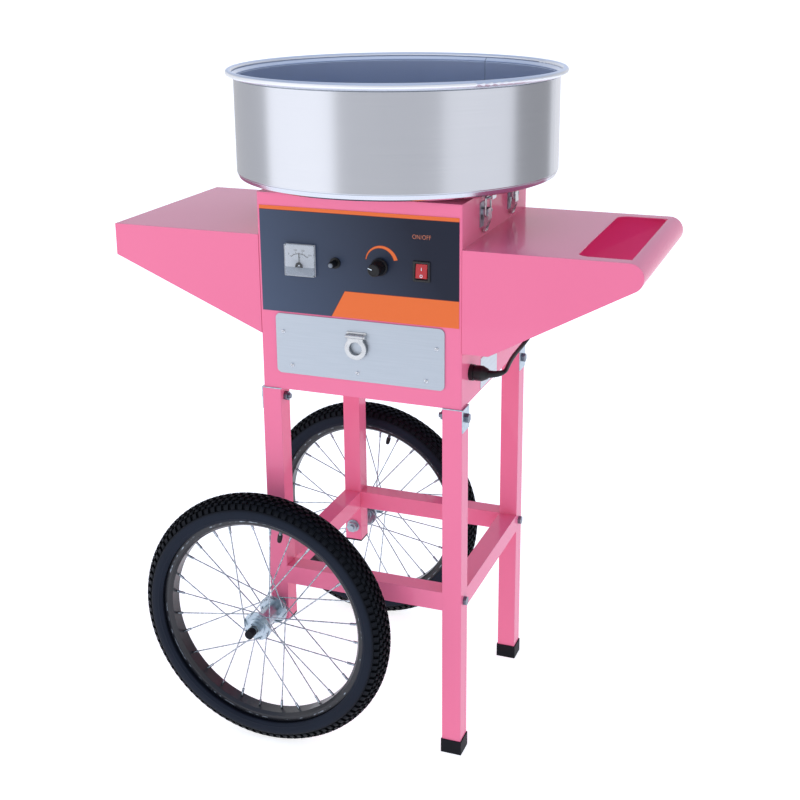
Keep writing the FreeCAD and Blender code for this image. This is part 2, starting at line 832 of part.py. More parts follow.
def pull_ring():
    """Flat ring with a neck and a knuckle on the hinge pin."""
    body = new_body()
    thick = "pull_thick/2"
    centre = ("0", "0 - pull_drop")
    slab(body, "y", [(centre, "pull_radius")], f"0 - {thick}", thick)
    block(body, ("0 - pull_half", f"0 - {thick}", "0 - pull_drop + 2"), ("pull_half", thick, "0"))
    rod(body, "x", ("0 - pull_half", "0", "0"), "knuckle", "2*pull_half")
    bore(body, "y", ("0", "0 - knuckle - 1", "0 - pull_drop"), "pull_hole", "2*knuckle + 2")
    bore(body, "x", ("0 - pull_half - 1", "0", "0"), "pin + fit", "2*pull_half + 2")
    node("pull_ring", body, ("pull_at", PULL_AXIS_Y, "pull_hinge_up"))


# ---------------------------------------------------------------- cart frame

def leg(label, side, end):
    """Square tube from the body's floor; the left legs stop short above the axle."""
    body = new_body()
    half = "tube/2"
    inner = "(tube/2 - tube_wall)"
    foot = "left_leg_foot" if side < 0 else "cap_floor"
    square = rectangle(f"0 - {half}", f"0 - {half}", half, half)
    room = rectangle(f"0 - {inner}", f"0 - {inner}", inner, inner)
    slab(body, "z", [square, room], foot, LEG_TOP)
    for up in (BRACKET_BOLT_UP, RAIL_MID):
        bore(body, "x", ("0 - tube", "0", up), "bolt + fit", "2*tube")
    if side < 0:
        bore(body, "y", ("0", "0 - tube", "wheel_radius"), "axle + fit", "2*tube")
    node(label, body, (f"{side}*{LEG_X}", f"{end}*{LEG_Y}", "0"))


def frame_rails():
    """Four square tubes between the legs; the cross rails have drilled end plates."""
    pieces = []
    outer_x, outer_y = f"({LEG_X} + tube/2)", f"({LEG_Y} + tube/2)"
    inner_x, inner_y = f"({LEG_X} - tube/2)", f"({LEG_Y} - tube/2)"
    low, high = "rail_base", "(rail_base + tube)"
    for end in (-1, 1):
        body = new_body()
        edge, back = f"{end}*{outer_y}", f"{end}*{inner_y}"
        slab(body, "x", [rectangle(edge, low, back, high)], f"0 - {inner_x}", inner_x)
        near = f"({end}*{LEG_Y} - tube/2 + tube_wall)"
        hollow(
            body,
            (f"2*tube_wall - {inner_x}", near, f"{low} + tube_wall"),
            (f"{inner_x} - 2*tube_wall", f"{near} + tube - 2*tube_wall", f"{high} - tube_wall"),
        )
        bore(body, "x", (f"0 - {inner_x} - 1", f"{end}*{LEG_Y}", RAIL_MID), "bolt + fit", f"2*{inner_x} + 2")
        pieces.append(body)
    for side in (-1, 1):
        body = new_body()
        section = rectangle(f"{side}*{outer_x}", low, f"{side}*{inner_x}", high)
        slab(body, "y", [section], f"0 - {inner_y}", inner_y)
        near = f"({side}*{LEG_X} - tube/2 + tube_wall)"
        hollow(
            body,
            (near, f"0 - {inner_y} - 1", f"{low} + tube_wall"),
            (f"{near} + tube - 2*tube_wall", f"{inner_y} + 1", f"{high} - tube_wall"),
        )
        pieces.append(body)
    node("frame_rails", group(pieces))


def leg_brackets():
    """Angle plates: one wing on the leg's outer face, the other between leg and body."""
    pieces = []
    for side, end in PLACES.values():
        body = new_body()
        face = f"{side}*({LEG_X} + tube/2)"
        out = f"{side}*({LEG_X} + tube/2 + sheet)"
        inside = f"{side}*({LEG_X} - tube/2)"
        profile = [
            (inside, LEG_TOP), (face, LEG_TOP), (face, "box_base - bracket_tall"),
            (out, "box_base - bracket_tall"), (out, "box_base"), (inside, "box_base"),
        ]
        slab(body, "y", [profile], f"{end}*{LEG_Y} - tube/2", f"{end}*{LEG_Y} + tube/2")
        bore(body, "x", (f"{face} - 2*sheet", f"{end}*{LEG_Y}", BRACKET_BOLT_UP), "bolt + fit", "4*sheet")
        bore(body, "z", (f"{side}*{LEG_X}", f"{end}*{LEG_Y}", f"{LEG_TOP} - sheet"), "bolt + fit", "3*sheet")
        pieces.append(body)
    node("leg_brackets", group(pieces))


def bolt_set(axis, way, seat, grip, tail):
    """Hex bolt whose head sits on `seat` and points against `way`, with its nut after `grip`."""
    def along(distance):
        spot = list(seat)
        index = "xyz".index(axis)
        spot[index] = f"({seat[index]}) + {way}*({distance})"
        return tuple(spot)

    def start(distance, length):
        return along(distance) if way > 0 else along(f"{distance} + {length}")

    head = hexagon(axis, start("0 - bolt*1.25", "bolt*1.25"), "1.85*bolt", "bolt*1.25")
    shank_long = f"({grip} + {tail})"
    shank = cylinder(axis, start("0", shank_long), "bolt", shank_long)
    holder = nut(axis, start(grip, "bolt*1.5"), "1.85*bolt", "bolt + fit", "bolt*1.5")
    return [fuse(head, shank), holder]


def frame_bolts():
    """Bolts at the leg brackets, at the body's floor and at the ends of the cross rails."""
    pieces = []
    for side, end in PLACES.values():
        y = f"{end}*{LEG_Y}"
        face = f"{side}*({LEG_X} + tube/2 + sheet)"
        pieces += bolt_set("x", -side, (face, y, BRACKET_BOLT_UP), "tube + sheet", "bolt*2.4")
        floor = (f"{side}*{LEG_X}", y, BOX_FLOOR)
        pieces += bolt_set("z", -1, floor, "2*sheet", "bolt*1.8")
        leg_face = f"{side}*({LEG_X} + tube/2)"
        pieces += bolt_set("x", -side, (leg_face, y, RAIL_MID), "tube + 2*tube_wall", "bolt*2")
    node("frame_bolts", group(pieces))


def end_caps():
    """Rubber foot caps, plugs in the short legs and caps on the axle ends."""
    pieces = []
    flare = "(tube/2 + cap_flare)"
    inner = "(tube/2 - tube_wall - fit)"
    for end in (-1, 1):
        y = f"{end}*{LEG_Y}"
        foot = new_body()
        slab(
            foot, "z",
            [rectangle(f"{LEG_X} - {flare}", f"{y} - {flare}", f"{LEG_X} + {flare}", f"{y} + {flare}")],
            "0", "cap_tall",
        )
        hollow(
            foot,
            (f"{LEG_X} - tube/2", f"{y} - tube/2", "cap_floor"),
            (f"{LEG_X} + tube/2", f"{y} + tube/2", "cap_tall + 1"),
        )
        pieces.append(foot)
        plug = new_body()
        middle = f"(0 - {LEG_X})"
        block(
            plug,
            (f"{middle} - tube/2", f"{y} - tube/2", "left_leg_foot - cap_lip"),
            (f"{middle} + tube/2", f"{y} + tube/2", "left_leg_foot"),
        )
        block(
            plug,
            (f"{middle} - {inner}", f"{y} - {inner}", "left_leg_foot - cap_lip/2"),
            (f"{middle} + {inner}", f"{y} + {inner}", "left_leg_foot + 3*cap_lip"),
        )
        pieces.append(plug)
        start = f"{AXLE_TIP} - cap_on" if end > 0 else f"0 - {AXLE_TIP} - cap_lip"
        cap = cylinder("y", (f"0 - {LEG_X}", start, "wheel_radius"), "axle + 2", "cap_on + cap_lip")
        room = f"{AXLE_TIP} - cap_on" if end > 0 else f"0 - {AXLE_TIP}"
        pieces.append(cut(cap, cylinder("y", (f"0 - {LEG_X}", room, "wheel_radius"), "axle + fit", "cap_on")))
    node("end_caps", group(pieces))


# ---------------------------------------------------------------- wheels

def wheel_place(end):
    return (f"0 - {LEG_X}", f"{end}*wheel_out", "wheel_radius")


def tyre(label, end):
    """Tyre carcass with its beads inside the rim, and the inner tube with its valve."""
    carcass = new_body()
    centre = ("wheel_radius - tyre_section", "0")
    turned(carcass, "y", [(centre, "tyre_section"), (centre, "tyre_section - tyre_wall")])
    lip = "(rim_radius + slack)"
    turned(carcass, "y", [rectangle("rim_inner - 10", "0 - tyre_section", lip, "tyre_section")], "Groove")
    for way in (-1, 1):
        bead = [
            (lip, f"{way}*(tyre_section - 3.5)"), (f"{lip} + 3.5", f"{way}*(tyre_section - 4)"),
            (f"{lip} + 3.5", f"{way}*(rim_half - 6)"), (f"{lip} - 6", f"{way}*(rim_half - 6)"),
            (f"{lip} - 6", f"{way}*(rim_half - 2.3)"), (lip, f"{way}*(rim_half - 2.3)"),
        ]
        turned(carcass, "y", [bead])
    tube = new_body()
    turned(tube, "y", [(("wheel_radius - tyre_section + 2.5", "0"), "tyre_section - tyre_wall - 8")])
    stem = "rim_inner - valve_long"
    rod(tube, "x", (stem, "0", "0"), "valve", f"wheel_radius - tyre_section - ({stem})")
    rod(tube, "x", (stem, "0", "0"), "valve + 1", "valve_long - 8")
    tube.Placement = FreeCAD.Placement(FreeCAD.Vector(), FreeCAD.Rotation(FreeCAD.Vector(0, 1, 0), 90))
    bind(tube, "Placement.Rotation.Angle", valve_angle(end))
    node(label, group([carcass, tube]), wheel_place(end))


def valve_angle(end):
    return "front_valve" if end < 0 else "rear_valve"


def rim(label, end):
    """Channel rim with a well, drilled for the valve."""
    body = new_body()
    wall = "2"
    profile = [
        ("rim_inner", "0 - 10"), ("rim_inner", "10"), ("rim_inner + 4", "rim_half"),
        ("rim_radius", "rim_half"), ("rim_radius", f"rim_half - {wall}"),
        ("rim_inner + 5.5", f"rim_half - {wall}"), ("rim_inner + 2.5", "9"),
        ("rim_inner + 2.5", "0 - 9"), ("rim_inner + 5.5", f"{wall} - rim_half"),
        ("rim_radius", f"{wall} - rim_half"), ("rim_radius", "0 - rim_half"),
        ("rim_inner + 4", "0 - rim_half"),
    ]
    turned(body, "y", [profile])
    hole = primitive(
        body, "SubtractiveCylinder", ("0", "0", "0"), ((0, 1, 0), 90),
        {"Radius": "valve + slack", "Height": "rim_radius + 5"},
    )
    bind(hole, "Placement.Rotation.Angle", f"90 + {valve_angle(end)}")
    node(label, body, wheel_place(end))


def hub(label, end):
    """Barrel with two spoke flanges, running on the axle."""
    body = new_body()
    low, high = "(flange_out - 1.5)", "(flange_out + 1.5)"
    right = [
        ("axle + fit", "hub_half"), ("hub_barrel", "hub_half"), ("hub_barrel", high),
        ("flange_radius", high), ("flange_radius", low), ("hub_barrel", low),
    ]
    left = [(radius, f"0 - {along}") for radius, along in reversed(right)]
    turned(body, "y", [right + left])
    node(label, body, wheel_place(end))


def spokes(label, end):
    """Crossed spokes: each flange has half of them, leading and trailing by turns."""
    item = doc.addObject("Part::Feature", named("Spokes"))
    pitch = size("flange_radius - 4")
    reach = size("rim_inner - slack - 0.6*spoke")
    thin = size("spoke")
    nipple_long = size("nipple")
    spread = size("nipple_spread")
    per_flange = int(size("spoke_pairs"))
    step = 360 / per_flange
    phase = step / 4 - size(valve_angle(end))
    shapes = []
    for index in range(2 * per_flange):
        flange = 1 if index % 2 else -1
        pair = index // 2
        leading = 1 if pair % 2 else -1
        rim_angle = math.radians(phase + pair * step + (step / 2 if flange > 0 else 0))
        hub_angle = rim_angle + leading * math.radians(3 * step)
        seat = 1.5 + thin + (2.3 if leading > 0 else 0.05)
        away = flange * (size("flange_out") + leading * seat)
        start = FreeCAD.Vector(pitch * math.cos(hub_angle), away, pitch * math.sin(hub_angle))
        stop = FreeCAD.Vector(reach * math.cos(rim_angle), flange * spread, reach * math.sin(rim_angle))
        line = stop - start
        wire = Part.makeCylinder(thin, line.Length, start, line)
        nipple = Part.makeCylinder(2 * thin, nipple_long, stop - line * (nipple_long / line.Length), line)
        shapes.append(wire.fuse(nipple).removeSplitter())
    item.Shape = Part.makeCompound(shapes)
    node(label, item, wheel_place(end))


def wheel_axles():
    """Threaded rods through the short legs, with nuts, washers and cones from the leg outwards."""
    pieces = [
        cylinder("y", (f"0 - {LEG_X}", start, "wheel_radius"), "axle", f"{AXLE_TIP} - axle_inner")
        for start in ("axle_inner", f"0 - {AXLE_TIP}")
    ]
    leg_in, leg_out = f"({LEG_Y} - tube/2)", f"({LEG_Y} + tube/2)"
    hub_in, hub_out = "(wheel_out - hub_half - slack)", "(wheel_out + hub_half + slack)"
    stack = [
        ("hex", f"{leg_in} - 10", "8"), ("ring", f"{leg_in} - 2", "2"),
        ("ring", leg_out, "2"), ("hex", f"{leg_out} + 2", "8"),
        ("cone", f"{leg_out} + 10", f"{hub_in} - {leg_out} - 10"),
        ("cone", hub_out, "4"), ("hex", f"{hub_out} + 4", "5.5"),
    ]
    for end in (-1, 1):
        for kind, start, length in stack:
            first = start if end > 0 else f"0 - ({start}) - ({length})"
            at = (f"0 - {LEG_X}", first, "wheel_radius")
            if kind == "hex":
                pieces.append(nut("y", at, "axle*1.95", "axle + fit", length))
            else:
                outer = "axle*2.3" if kind == "ring" else "axle*1.75"
                pieces.append(ring("y", at, outer, "axle + fit", length))
    node("wheel_axles", group(pieces))


# ---------------------------------------------------------------- bowl

STRIKE_X = f"({SIDE} + pivot_out)"


def strike_profile():
    """J-shaped catch: a leg from the bowl's floor, a flat and an upturned lip."""
    back = f"({STRIKE_X} - wire - 0.5)"
    lip = f"({STRIKE_X} + throw + wire + 0.5)"
    low = "(wire_up - wire - slack)"
    top = "bowl_base"
    return [
        (f"{back} - sheet", top), (back, top), (back, low), (lip, low), (lip, f"{low} + 4.8"),
        (f"{lip} + sheet", f"{low} + 4.8"), (f"{lip} + sheet", f"{low} - sheet"),
        (f"{back} - sheet", f"{low} - sheet"),
    ]


def bowl():
    """Deep steel bowl with a rolled rim and a shaft hole."""
    body = new_body()
    outer, wall = "bowl_radius", "bowl_wall"
    profile = [
        ("bowl_eye", "bowl_base"), (f"{outer} - bowl_corner", "bowl_base"),
        (f"{outer} - bowl_corner*0.3", "bowl_base + bowl_corner*0.3"), (outer, "bowl_base + bowl_corner"),
        (outer, "bowl_rim - 2*roll - 3"), ("roll_centre - 1", "bowl_rim - 2*roll + 0.5"),
        ("roll_centre - 2.5", "bowl_rim - roll"), (f"{outer} - {wall}", "bowl_rim - 2*roll - 2"),
        (f"{outer} - {wall}", "bowl_base + bowl_corner"),
        (f"{outer} - bowl_corner*0.3 - {wall}", f"bowl_base + bowl_corner*0.3 + {wall}"),
        (f"{outer} - bowl_corner", f"bowl_base + {wall}"), ("bowl_eye", f"bowl_base + {wall}"),
    ]
    turned(body, "z", [profile])
    turned(body, "z", [(("roll_centre", "bowl_rim - roll"), "roll")])
    node("bowl", body)


def bowl_catches():
    """Four catches welded under the bowl's floor, one for each bail."""
    pieces = []
    for side, end in PLACES.values():
        body = new_body()
        corners = [(f"{side}*({x})", up) for x, up in strike_profile()]
        middle = f"{end}*latch_at"
        slab(body, "y", [corners], f"{middle} - strike_half", f"{middle} + strike_half")
        pieces.append(body)
    node("bowl_catches", group(pieces))


# ---------------------------------------------------------------- latches

def latch_place(side, end):
    """Latches are drawn for the right side; those on the left are turned round half a turn."""
    at = (f"{side}*{STRIKE_X}", f"{end}*latch_at", "pivot_up")
    return at, ((0, 0, 1), 0 if side > 0 else 180)


def latch_bases():
    """Riveted plates with two ears and a pivot pin each."""
    pieces = []
    for side, end in PLACES.values():
        body = new_body()
        back = "(0 - pivot_out)"
        slab(body, "x", [rectangle("0 - 15", "0 - 22", "15", "14")], back, f"{back} + sheet")
        for way in (-1, 1):
            start = f"{way}*(lever_half + slack + 0.75) - 0.75"
            block(body, (back, start, "0 - 3.8"), ("0", f"{start} + 1.5", "3.8"))
            rod(body, "y", ("0", start, "0"), "3.8", "1.5")
        reach = "(lever_half + slack + 1.5)"
        rod(body, "y", ("0", f"0 - {reach}", "0"), "wire", f"2*{reach}")
        at, turn = latch_place(side, end)
        settle(body, at, turn)
        pieces.append(body)
    node("latch_bases", group(pieces))


def latch_lever(label, side, end):
    """Channel lever: two cheeks on the pivot pin, a web outside and a curled tip."""
    body = new_body()
    tip = "(pivot_up - lever_tip)"
    profile = [
        ("3", "4.4"), ("0 - 3.2", "4.4"), ("0 - 3.2", "0 - throw - 3"), ("0 - lever_in", f"3 - {tip}"),
        ("3 - lever_in", f"3 - {tip}"), ("3.4", "0 - throw - 5"),
    ]
    slab(body, "y", [profile], "0 - lever_half", "lever_half")
    hollow(
        body, ("0 - 8", "1.2 - lever_half", f"6 - {tip}"), ("1.8", "lever_half - 1.2", "8"),
    )
    rod(body, "y", ("1 - lever_in", "1 - lever_half", f"2.4 - {tip}"), "2.4", "2*lever_half - 2")
    bore(body, "y", ("0", "0 - lever_half - 1", "0"), "wire + fit", "2*lever_half + 2")
    bore(body, "y", ("0", "0 - lever_half - 1", "0 - throw"), "wire + fit", "2*lever_half + 2")
    at, turn = latch_place(side, end)
    node(label, body, at, turn)


def latch_bail(label, side, end):
    """Wire bail from the lever's cheeks up and over the catch on the bowl."""
    rise = size("wire_up - pivot_up + throw")
    half = size("bail_half")
    foot = size("lever_half - 1")
    bend = 2 * size("wire")
    low = -size("throw")
    item = doc.addObject("Part::Feature", named("Bail"))
    item.Shape = wire_solid([
        (0, -foot, low), (0, -half, low), (0, -half, low + rise),
        (0, half, low + rise), (0, half, low), (0, foot, low),
    ], bend, size("wire"))
    at, turn = latch_place(side, end)
    node(label, item, at, turn)


def wire_solid(points, bend, radius):
    """Round wire along straight runs, each corner turned on the same arc."""
    path = rounded_path(points, [bend] * (len(points) - 2))
    ring_edge = Part.makeCircle(radius, path.Vertexes[0].Point, path.Edges[0].tangentAt(0))
    return path.makePipe(Part.Face(Part.Wire(ring_edge)))


def rounded_path(points, radii):
    """Wire of straight runs joined by tangent arcs, one radius for each inner point."""
    spots = [FreeCAD.Vector(*point) for point in points]
    edges = []
    last = spots[0]
    for before, corner, after, radius in zip(spots, spots[1:], spots[2:], radii):
        back = (before - corner).normalize()
        onward = (after - corner).normalize()
        half = back.getAngle(onward) / 2
        first = corner + back * (radius / math.tan(half))
        second = corner + onward * (radius / math.tan(half))
        bisector = (back + onward).normalize()
        middle = corner + bisector * (radius / math.sin(half) - radius)
        edges.append(Part.LineSegment(last, first).toShape())
        edges.append(Part.Arc(first, middle, second).toShape())
        last = second
    edges.append(Part.LineSegment(last, spots[-1]).toShape())
    return Part.Wire(edges)


# ---------------------------------------------------------------- drive and spinning head

MOTOR_TOP = f"({BOX_TOP} - motor_drop)"


def motor():
    """Round motor can hung under the lid."""
    body = new_body()
    rod(body, "z", ("0", "0", f"{MOTOR_TOP} - motor_tall"), "motor_radius", "motor_tall")
    bore(body, "z", ("0", "0", f"{MOTOR_TOP} - motor_tall*0.8"), "shaft + fit", "motor_tall")
    node("motor", body)


def motor_shaft():
    """Shaft with two slip rings, and the nut that holds the head on it."""
    body = new_body()
    low = f"({MOTOR_TOP} - motor_tall*0.75)"
    rod(body, "z", ("0", "0", low), "shaft", f"head_base + 14 - {low}")
    rod(body, "z", ("0", "0", f"{MOTOR_TOP} + 3"), "slip_ring", "6")
    rod(body, "z", ("0", "0", f"{MOTOR_TOP} + 11"), "slip_ring", "6")
    rod(body, "z", ("0", "0", f"{MOTOR_TOP} + 3"), "slip_ring - 3", "14")
    top_nut = nut("z", ("0", "0", "head_base + 6"), "shaft*1.85", "shaft + fit", "6")
    node("motor_shaft", group([body, top_nut]))


def brush_block():
    """Insulating block beside the slip rings with two spring brushes."""
    body = new_body()
    near = "(slip_ring + 5)"
    block(body, (near, "0 - 8", MOTOR_TOP), (f"{near} + 12", "8", f"{MOTOR_TOP} + 18"))
    for up in ("4", "12"):
        low = ("slip_ring + slack", "0 - 3", f"{MOTOR_TOP} + {up}")
        block(body, low, (f"{near} + 1", "3", f"{MOTOR_TOP} + {up} + 4"))
    node("brush_block", body)


def head_base():
    """Floor of the spinning head with its hub on the shaft."""
    body = new_body()
    profile = [
        ("shaft + fit", "head_base - 12"), ("shaft + 5", "head_base - 12"), ("shaft + 5", "head_base"),
        ("head_radius", "head_base"), ("head_radius", "head_base + 6"), ("shaft + fit", "head_base + 6"),
    ]
    turned(body, "z", [profile])
    node("head_base", body)


def head_band():
    """Band round the head that the melted sugar is thrown through."""
    body = new_body()
    loops = [(("0", "0"), "head_radius"), (("0", "0"), "head_radius - 2")]
    slab(body, "z", loops, "head_base + 6", "head_base + 6 + head_tall")
    node("head_band", body)


def head_cap():
    """Cap of the head with the opening for the sugar."""
    body = new_body()
    top = "(head_base + 6 + head_tall)"
    profile = [
        ("funnel", f"{top} - 10"), ("funnel + 1.5", f"{top} - 10"), ("funnel + 1.5", top),
        ("head_radius + 1", top), ("head_radius + 1", f"{top} + 2"), ("funnel", f"{top} + 2"),
    ]
    turned(body, "z", [profile])
    node("head_cap", body)


# ---------------------------------------------------------------- mains cord

def cable_gland():
    """Gland on the right side: collar, waist, domed nut and the locknut inside."""
    body = new_body()
    profile = [
        ("cord_radius + slack", "0 - 10"), ("gland_neck", "0 - 10"), ("gland_neck", "0"),
        ("gland_radius", "0"), ("gland_radius", "6"), ("gland_radius - 2", "6"), ("gland_radius - 2", "8"),
        ("gland_radius - 0.6", "8"), ("gland_radius - 0.6", "gland_long*0.7"),
        ("gland_radius - 4.5", "gland_long"), ("cord_radius + slack", "gland_long"),
    ]
    turned(body, "z", [profile])
    settle(body, (SIDE, "gland_at", "gland_up"), ALONG["x"])
    start = (f"{SIDE} - sheet - 4", "gland_at", "gland_up")
    locknut = nut("x", start, "gland_neck + 4", "gland_neck + fit", "4")
    node("cable_gland", group([body, locknut]))


# The cord's route from the gland's mouth, counted from the body's centre line: back along the
# right side, up past the ledge of the right wing, over it and into the hank that lies on it.
CORD_ROUTE = [
    (183, -123, 617), (190.5, -123, 617), (196, -116.5, 617), (197.5, -104, 617.3),
    (197, -84, 617), (195.5, -56, 616.4), (195, -24, 616.8), (194.5, 8, 616.6),
    (194, 38, 617), (195, 64, 621.5), (199, 86, 629.5), (202.5, 102, 640), (204, 112, 654),
    (204, 114, 671), (202, 108, 686), (198.5, 93, 692), (194.5, 76, 687), (191.5, 60, 676),
    (190, 45, 666), (190, 36, 662.3), (190, 28, 662.3),
]
HANK_NEAR = "(0 - 102)"
HANK_FAR = "28"
LEDGE_UP = "(wing_ledge + sheet + slack)"


def cord_radii(points):
    """The arc at each inner point is as large as 0.45 of its shorter run allows."""
    spots = [FreeCAD.Vector(*point) for point in points]
    radii = []
    for before, corner, after in zip(spots, spots[1:], spots[2:]):
        turn = (corner - before).getAngle(after - corner)
        shorter = min((corner - before).Length, (after - corner).Length)
        radii.append(0.45 * shorter / math.tan(turn / 2))
    return radii


def power_cord():
    """Cord from the gland to its hank."""
    radii = cord_radii(CORD_ROUTE)
    print("cord radii:", [round(value, 1) for value in radii])
    path = rounded_path(CORD_ROUTE, radii)
    radius = size("cord_radius")
    disc = Part.makeCircle(radius, path.Vertexes[0].Point, path.Edges[0].tangentAt(0))
    item = doc.addObject("Part::Feature", named("Cord"))
    item.Shape = path.makePipe(Part.Face(Part.Wire(disc)))
    even = math.pi * radius ** 2 * path.Length
    print("cord length:", round(path.Length, 1), "volume to section:", round(item.Shape.Volume / even, 4))
    node("power_cord", item)


def cord_hank():
    """Outer shape of the rest of the cord, wound in an oval that stands on the wing's ledge."""
    body = new_body()
    high = f"({LEDGE_UP} + hank_tall)"
    side = [
        (HANK_NEAR, LEDGE_UP), (HANK_FAR, LEDGE_UP), (HANK_FAR, f"{high} - hank_tall/4"),
        (f"{HANK_FAR} - hank_tall/4", high), (f"{HANK_NEAR} + hank_tall/4", high),
        (HANK_NEAR, f"{high} - hank_tall/4"),
    ]
    slab(body, "x", [side], "166.9", "193.6")
    node("cord_hank", body)


def power_plug():
    """Mains plug at the end of the hank, with three flat pins."""
    body = new_body()
    low = LEDGE_UP
    near = f"({HANK_NEAR} - 32)"
    block(body, ("166", near, low), ("188", HANK_NEAR, f"{low} + 18"))
    for x in ("170.2", "182.2"):
        block(body, (x, f"{near} - 17", f"{low} + 9"), (f"{x} + 1.6", f"{near} + 1", f"{low} + 15"))
    block(body, ("174", f"{near} - 19", f"{low} + 3"), ("180", f"{near} + 1", f"{low} + 4.6"))
    node("power_plug", body)


# ---------------------------------------------------------------- build

def build():
    body_shell()
    top_plate()
    panel_film()
    rating_plate()
    wing_left()
    wing_right()
    body_screws()
    meter_body()
    meter_needle()
    meter_lens()
    fuse_holder()
    fuse_cap()
    control_knob()
    control_board()
    switch_housing()
    switch_rocker()
    drawer_tray()
    drawer_front()
    drawer_screws()
    drawer_runners()
    pull_base()
    pull_ring()
    for place, (side, end) in PLACES.items():
        leg(f"leg_{place}", side, end)
    frame_rails()
    leg_brackets()
    frame_bolts()
    end_caps()
    for end, place in ((-1, "front"), (1, "rear")):
        tyre(f"{place}_tyre", end)
        rim(f"{place}_rim", end)
        spokes(f"{place}_spokes", end)
        hub(f"{place}_hub", end)
    wheel_axles()
    bowl()
    bowl_catches()
    latch_bases()
    for place, (side, end) in PLACES.items():
        latch_lever(f"latch_lever_{place}", side, end)
        latch_bail(f"latch_bail_{place}", side, end)
    motor()
    motor_shaft()
    brush_block()
    head_base()
    head_band()
    head_cap()
    cable_gland()
    power_cord()
    cord_hank()
    power_plug()


def check_and_write():
    """Writes every sub-part, once nothing in the document has failed."""
    failed = [item.Name for item in doc.Objects if {"Invalid", "Error"} & set(item.State)]
    if failed:
        raise RuntimeError(f"failed objects: {failed}")
    for item in NODES:
        if item.Shape.isNull() or not item.Shape.isValid() or item.Shape.Volume <= 0:
            raise RuntimeError(f"bad shape: {item.Label}")
    os.makedirs("parts", exist_ok=True)
    for item in NODES:
        item.Shape.exportStep(f"parts/{item.Label}.step")


build()
doc.recompute()
check_and_write()
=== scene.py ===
import math

import bmesh
import bpy
from mathutils import Matrix, Vector


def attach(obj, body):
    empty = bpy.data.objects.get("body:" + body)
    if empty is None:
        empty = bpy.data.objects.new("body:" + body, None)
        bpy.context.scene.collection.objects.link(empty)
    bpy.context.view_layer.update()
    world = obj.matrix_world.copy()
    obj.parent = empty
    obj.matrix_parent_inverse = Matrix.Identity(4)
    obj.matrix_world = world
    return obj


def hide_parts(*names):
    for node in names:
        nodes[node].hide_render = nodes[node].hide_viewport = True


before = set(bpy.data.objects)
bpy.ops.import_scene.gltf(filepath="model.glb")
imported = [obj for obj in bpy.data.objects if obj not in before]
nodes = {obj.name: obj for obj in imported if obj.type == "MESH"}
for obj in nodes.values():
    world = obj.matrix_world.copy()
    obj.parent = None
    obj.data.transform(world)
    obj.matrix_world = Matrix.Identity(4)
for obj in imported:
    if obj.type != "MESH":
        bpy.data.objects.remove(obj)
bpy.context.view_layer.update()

MM = 0.001
MIDDLE = -4.25  # the square body's centre line along X, in millimetres


# ------------ studio
# A camera at standing height in front of the cart and to its right, soft boxes in front, at the
# left and above, a ring of plain boards for the metal to mirror, and a plain pale floor.


def placed(name, data):
    """A new object in the scene."""
    made = bpy.data.objects.new(name, data)
    bpy.context.scene.collection.objects.link(made)
    return made


CAMERA_SPOT = (0.695056, -1.806912, 1.215669)
AZIMUTH, ELEVATION, ROLL = (math.radians(angle) for angle in (20.936, 16.369, -0.460))
level = Vector((math.cos(AZIMUTH), math.sin(AZIMUTH), 0))
sight = Vector((
    -math.sin(AZIMUTH) * math.cos(ELEVATION),
    math.cos(AZIMUTH) * math.cos(ELEVATION),
    -math.sin(ELEVATION),
))
upward = level.cross(sight)
right_way = math.cos(ROLL) * level + math.sin(ROLL) * upward
up_way = math.cos(ROLL) * upward - math.sin(ROLL) * level
camera_data = bpy.data.cameras.new("studio_camera")
camera_data.lens = 57.573
camera_data.sensor_width = 36
camera_data.shift_x = -0.0049
camera_data.shift_y = -0.10
camera = placed("studio_camera", camera_data)
turned_camera = Matrix((right_way, up_way, -sight)).transposed().to_4x4()
camera.matrix_world = Matrix.Translation(CAMERA_SPOT) @ turned_camera
bpy.context.scene.camera = camera
bpy.context.scene.view_settings.view_transform = "Standard"


class Channel:
    """A value that changes over a surface. Arithmetic on it adds Math nodes to its finish."""

    def __init__(self, finish, socket):
        self.finish = finish
        self.socket = socket

    def math(self, operation, *others):
        return self.finish.add("Math", {"operation": operation}, self, *others)

    def __add__(self, other):
        return self.math("ADD", other)

    __radd__ = __add__

    def __sub__(self, other):
        return self.math("SUBTRACT", other)

    def __rsub__(self, other):
        return self.finish.add("Math", {"operation": "SUBTRACT"}, other, self)

    def __mul__(self, other):
        return self.math("MULTIPLY", other)

    __rmul__ = __mul__

    def __truediv__(self, other):
        return self.math("DIVIDE", other)

    def __mod__(self, other):
        return self.math("FLOORED_MODULO", other)

    def __abs__(self):
        return self.math("ABSOLUTE")

    def hypot(self, other):
        """The longest side over two sides at right angles."""
        return (self * self + other * other).math("SQRT")

    def bearing(self, other):
        """The angle whose sides are this value and the other, in radians."""
        return self.math("ARCTAN2", other)

    def over(self, edge, soft):
        """0 below the edge and 1 above it, smooth within soft on either side."""
        share = self.finish.add("MapRange", {"interpolation_type": "SMOOTHSTEP"}, self)
        for socket, value in enumerate((edge - soft, edge + soft, 0.0, 1.0), start=1):
            self.finish.feed(share.socket.node.inputs[socket], value)
        return share

    def within(self, low, high, soft):
        return self.over(low, soft) * (1 - self.over(high, soft))


def from_hex(code):
    """Linear colour of a printed six-figure colour."""
    parts = [int(code[start:start + 2], 16) / 255 for start in (0, 2, 4)]
    return tuple(part / 12.92 if part <= 0.04045 else ((part + 0.055) / 1.055) ** 2.4 for part in parts)


def rgba(color):
    """A colour for a socket, from a printed colour, three shares or a channel."""
    if isinstance(color, Channel):
        return color
    return (*(from_hex(color) if isinstance(color, str) else color), 1.0)


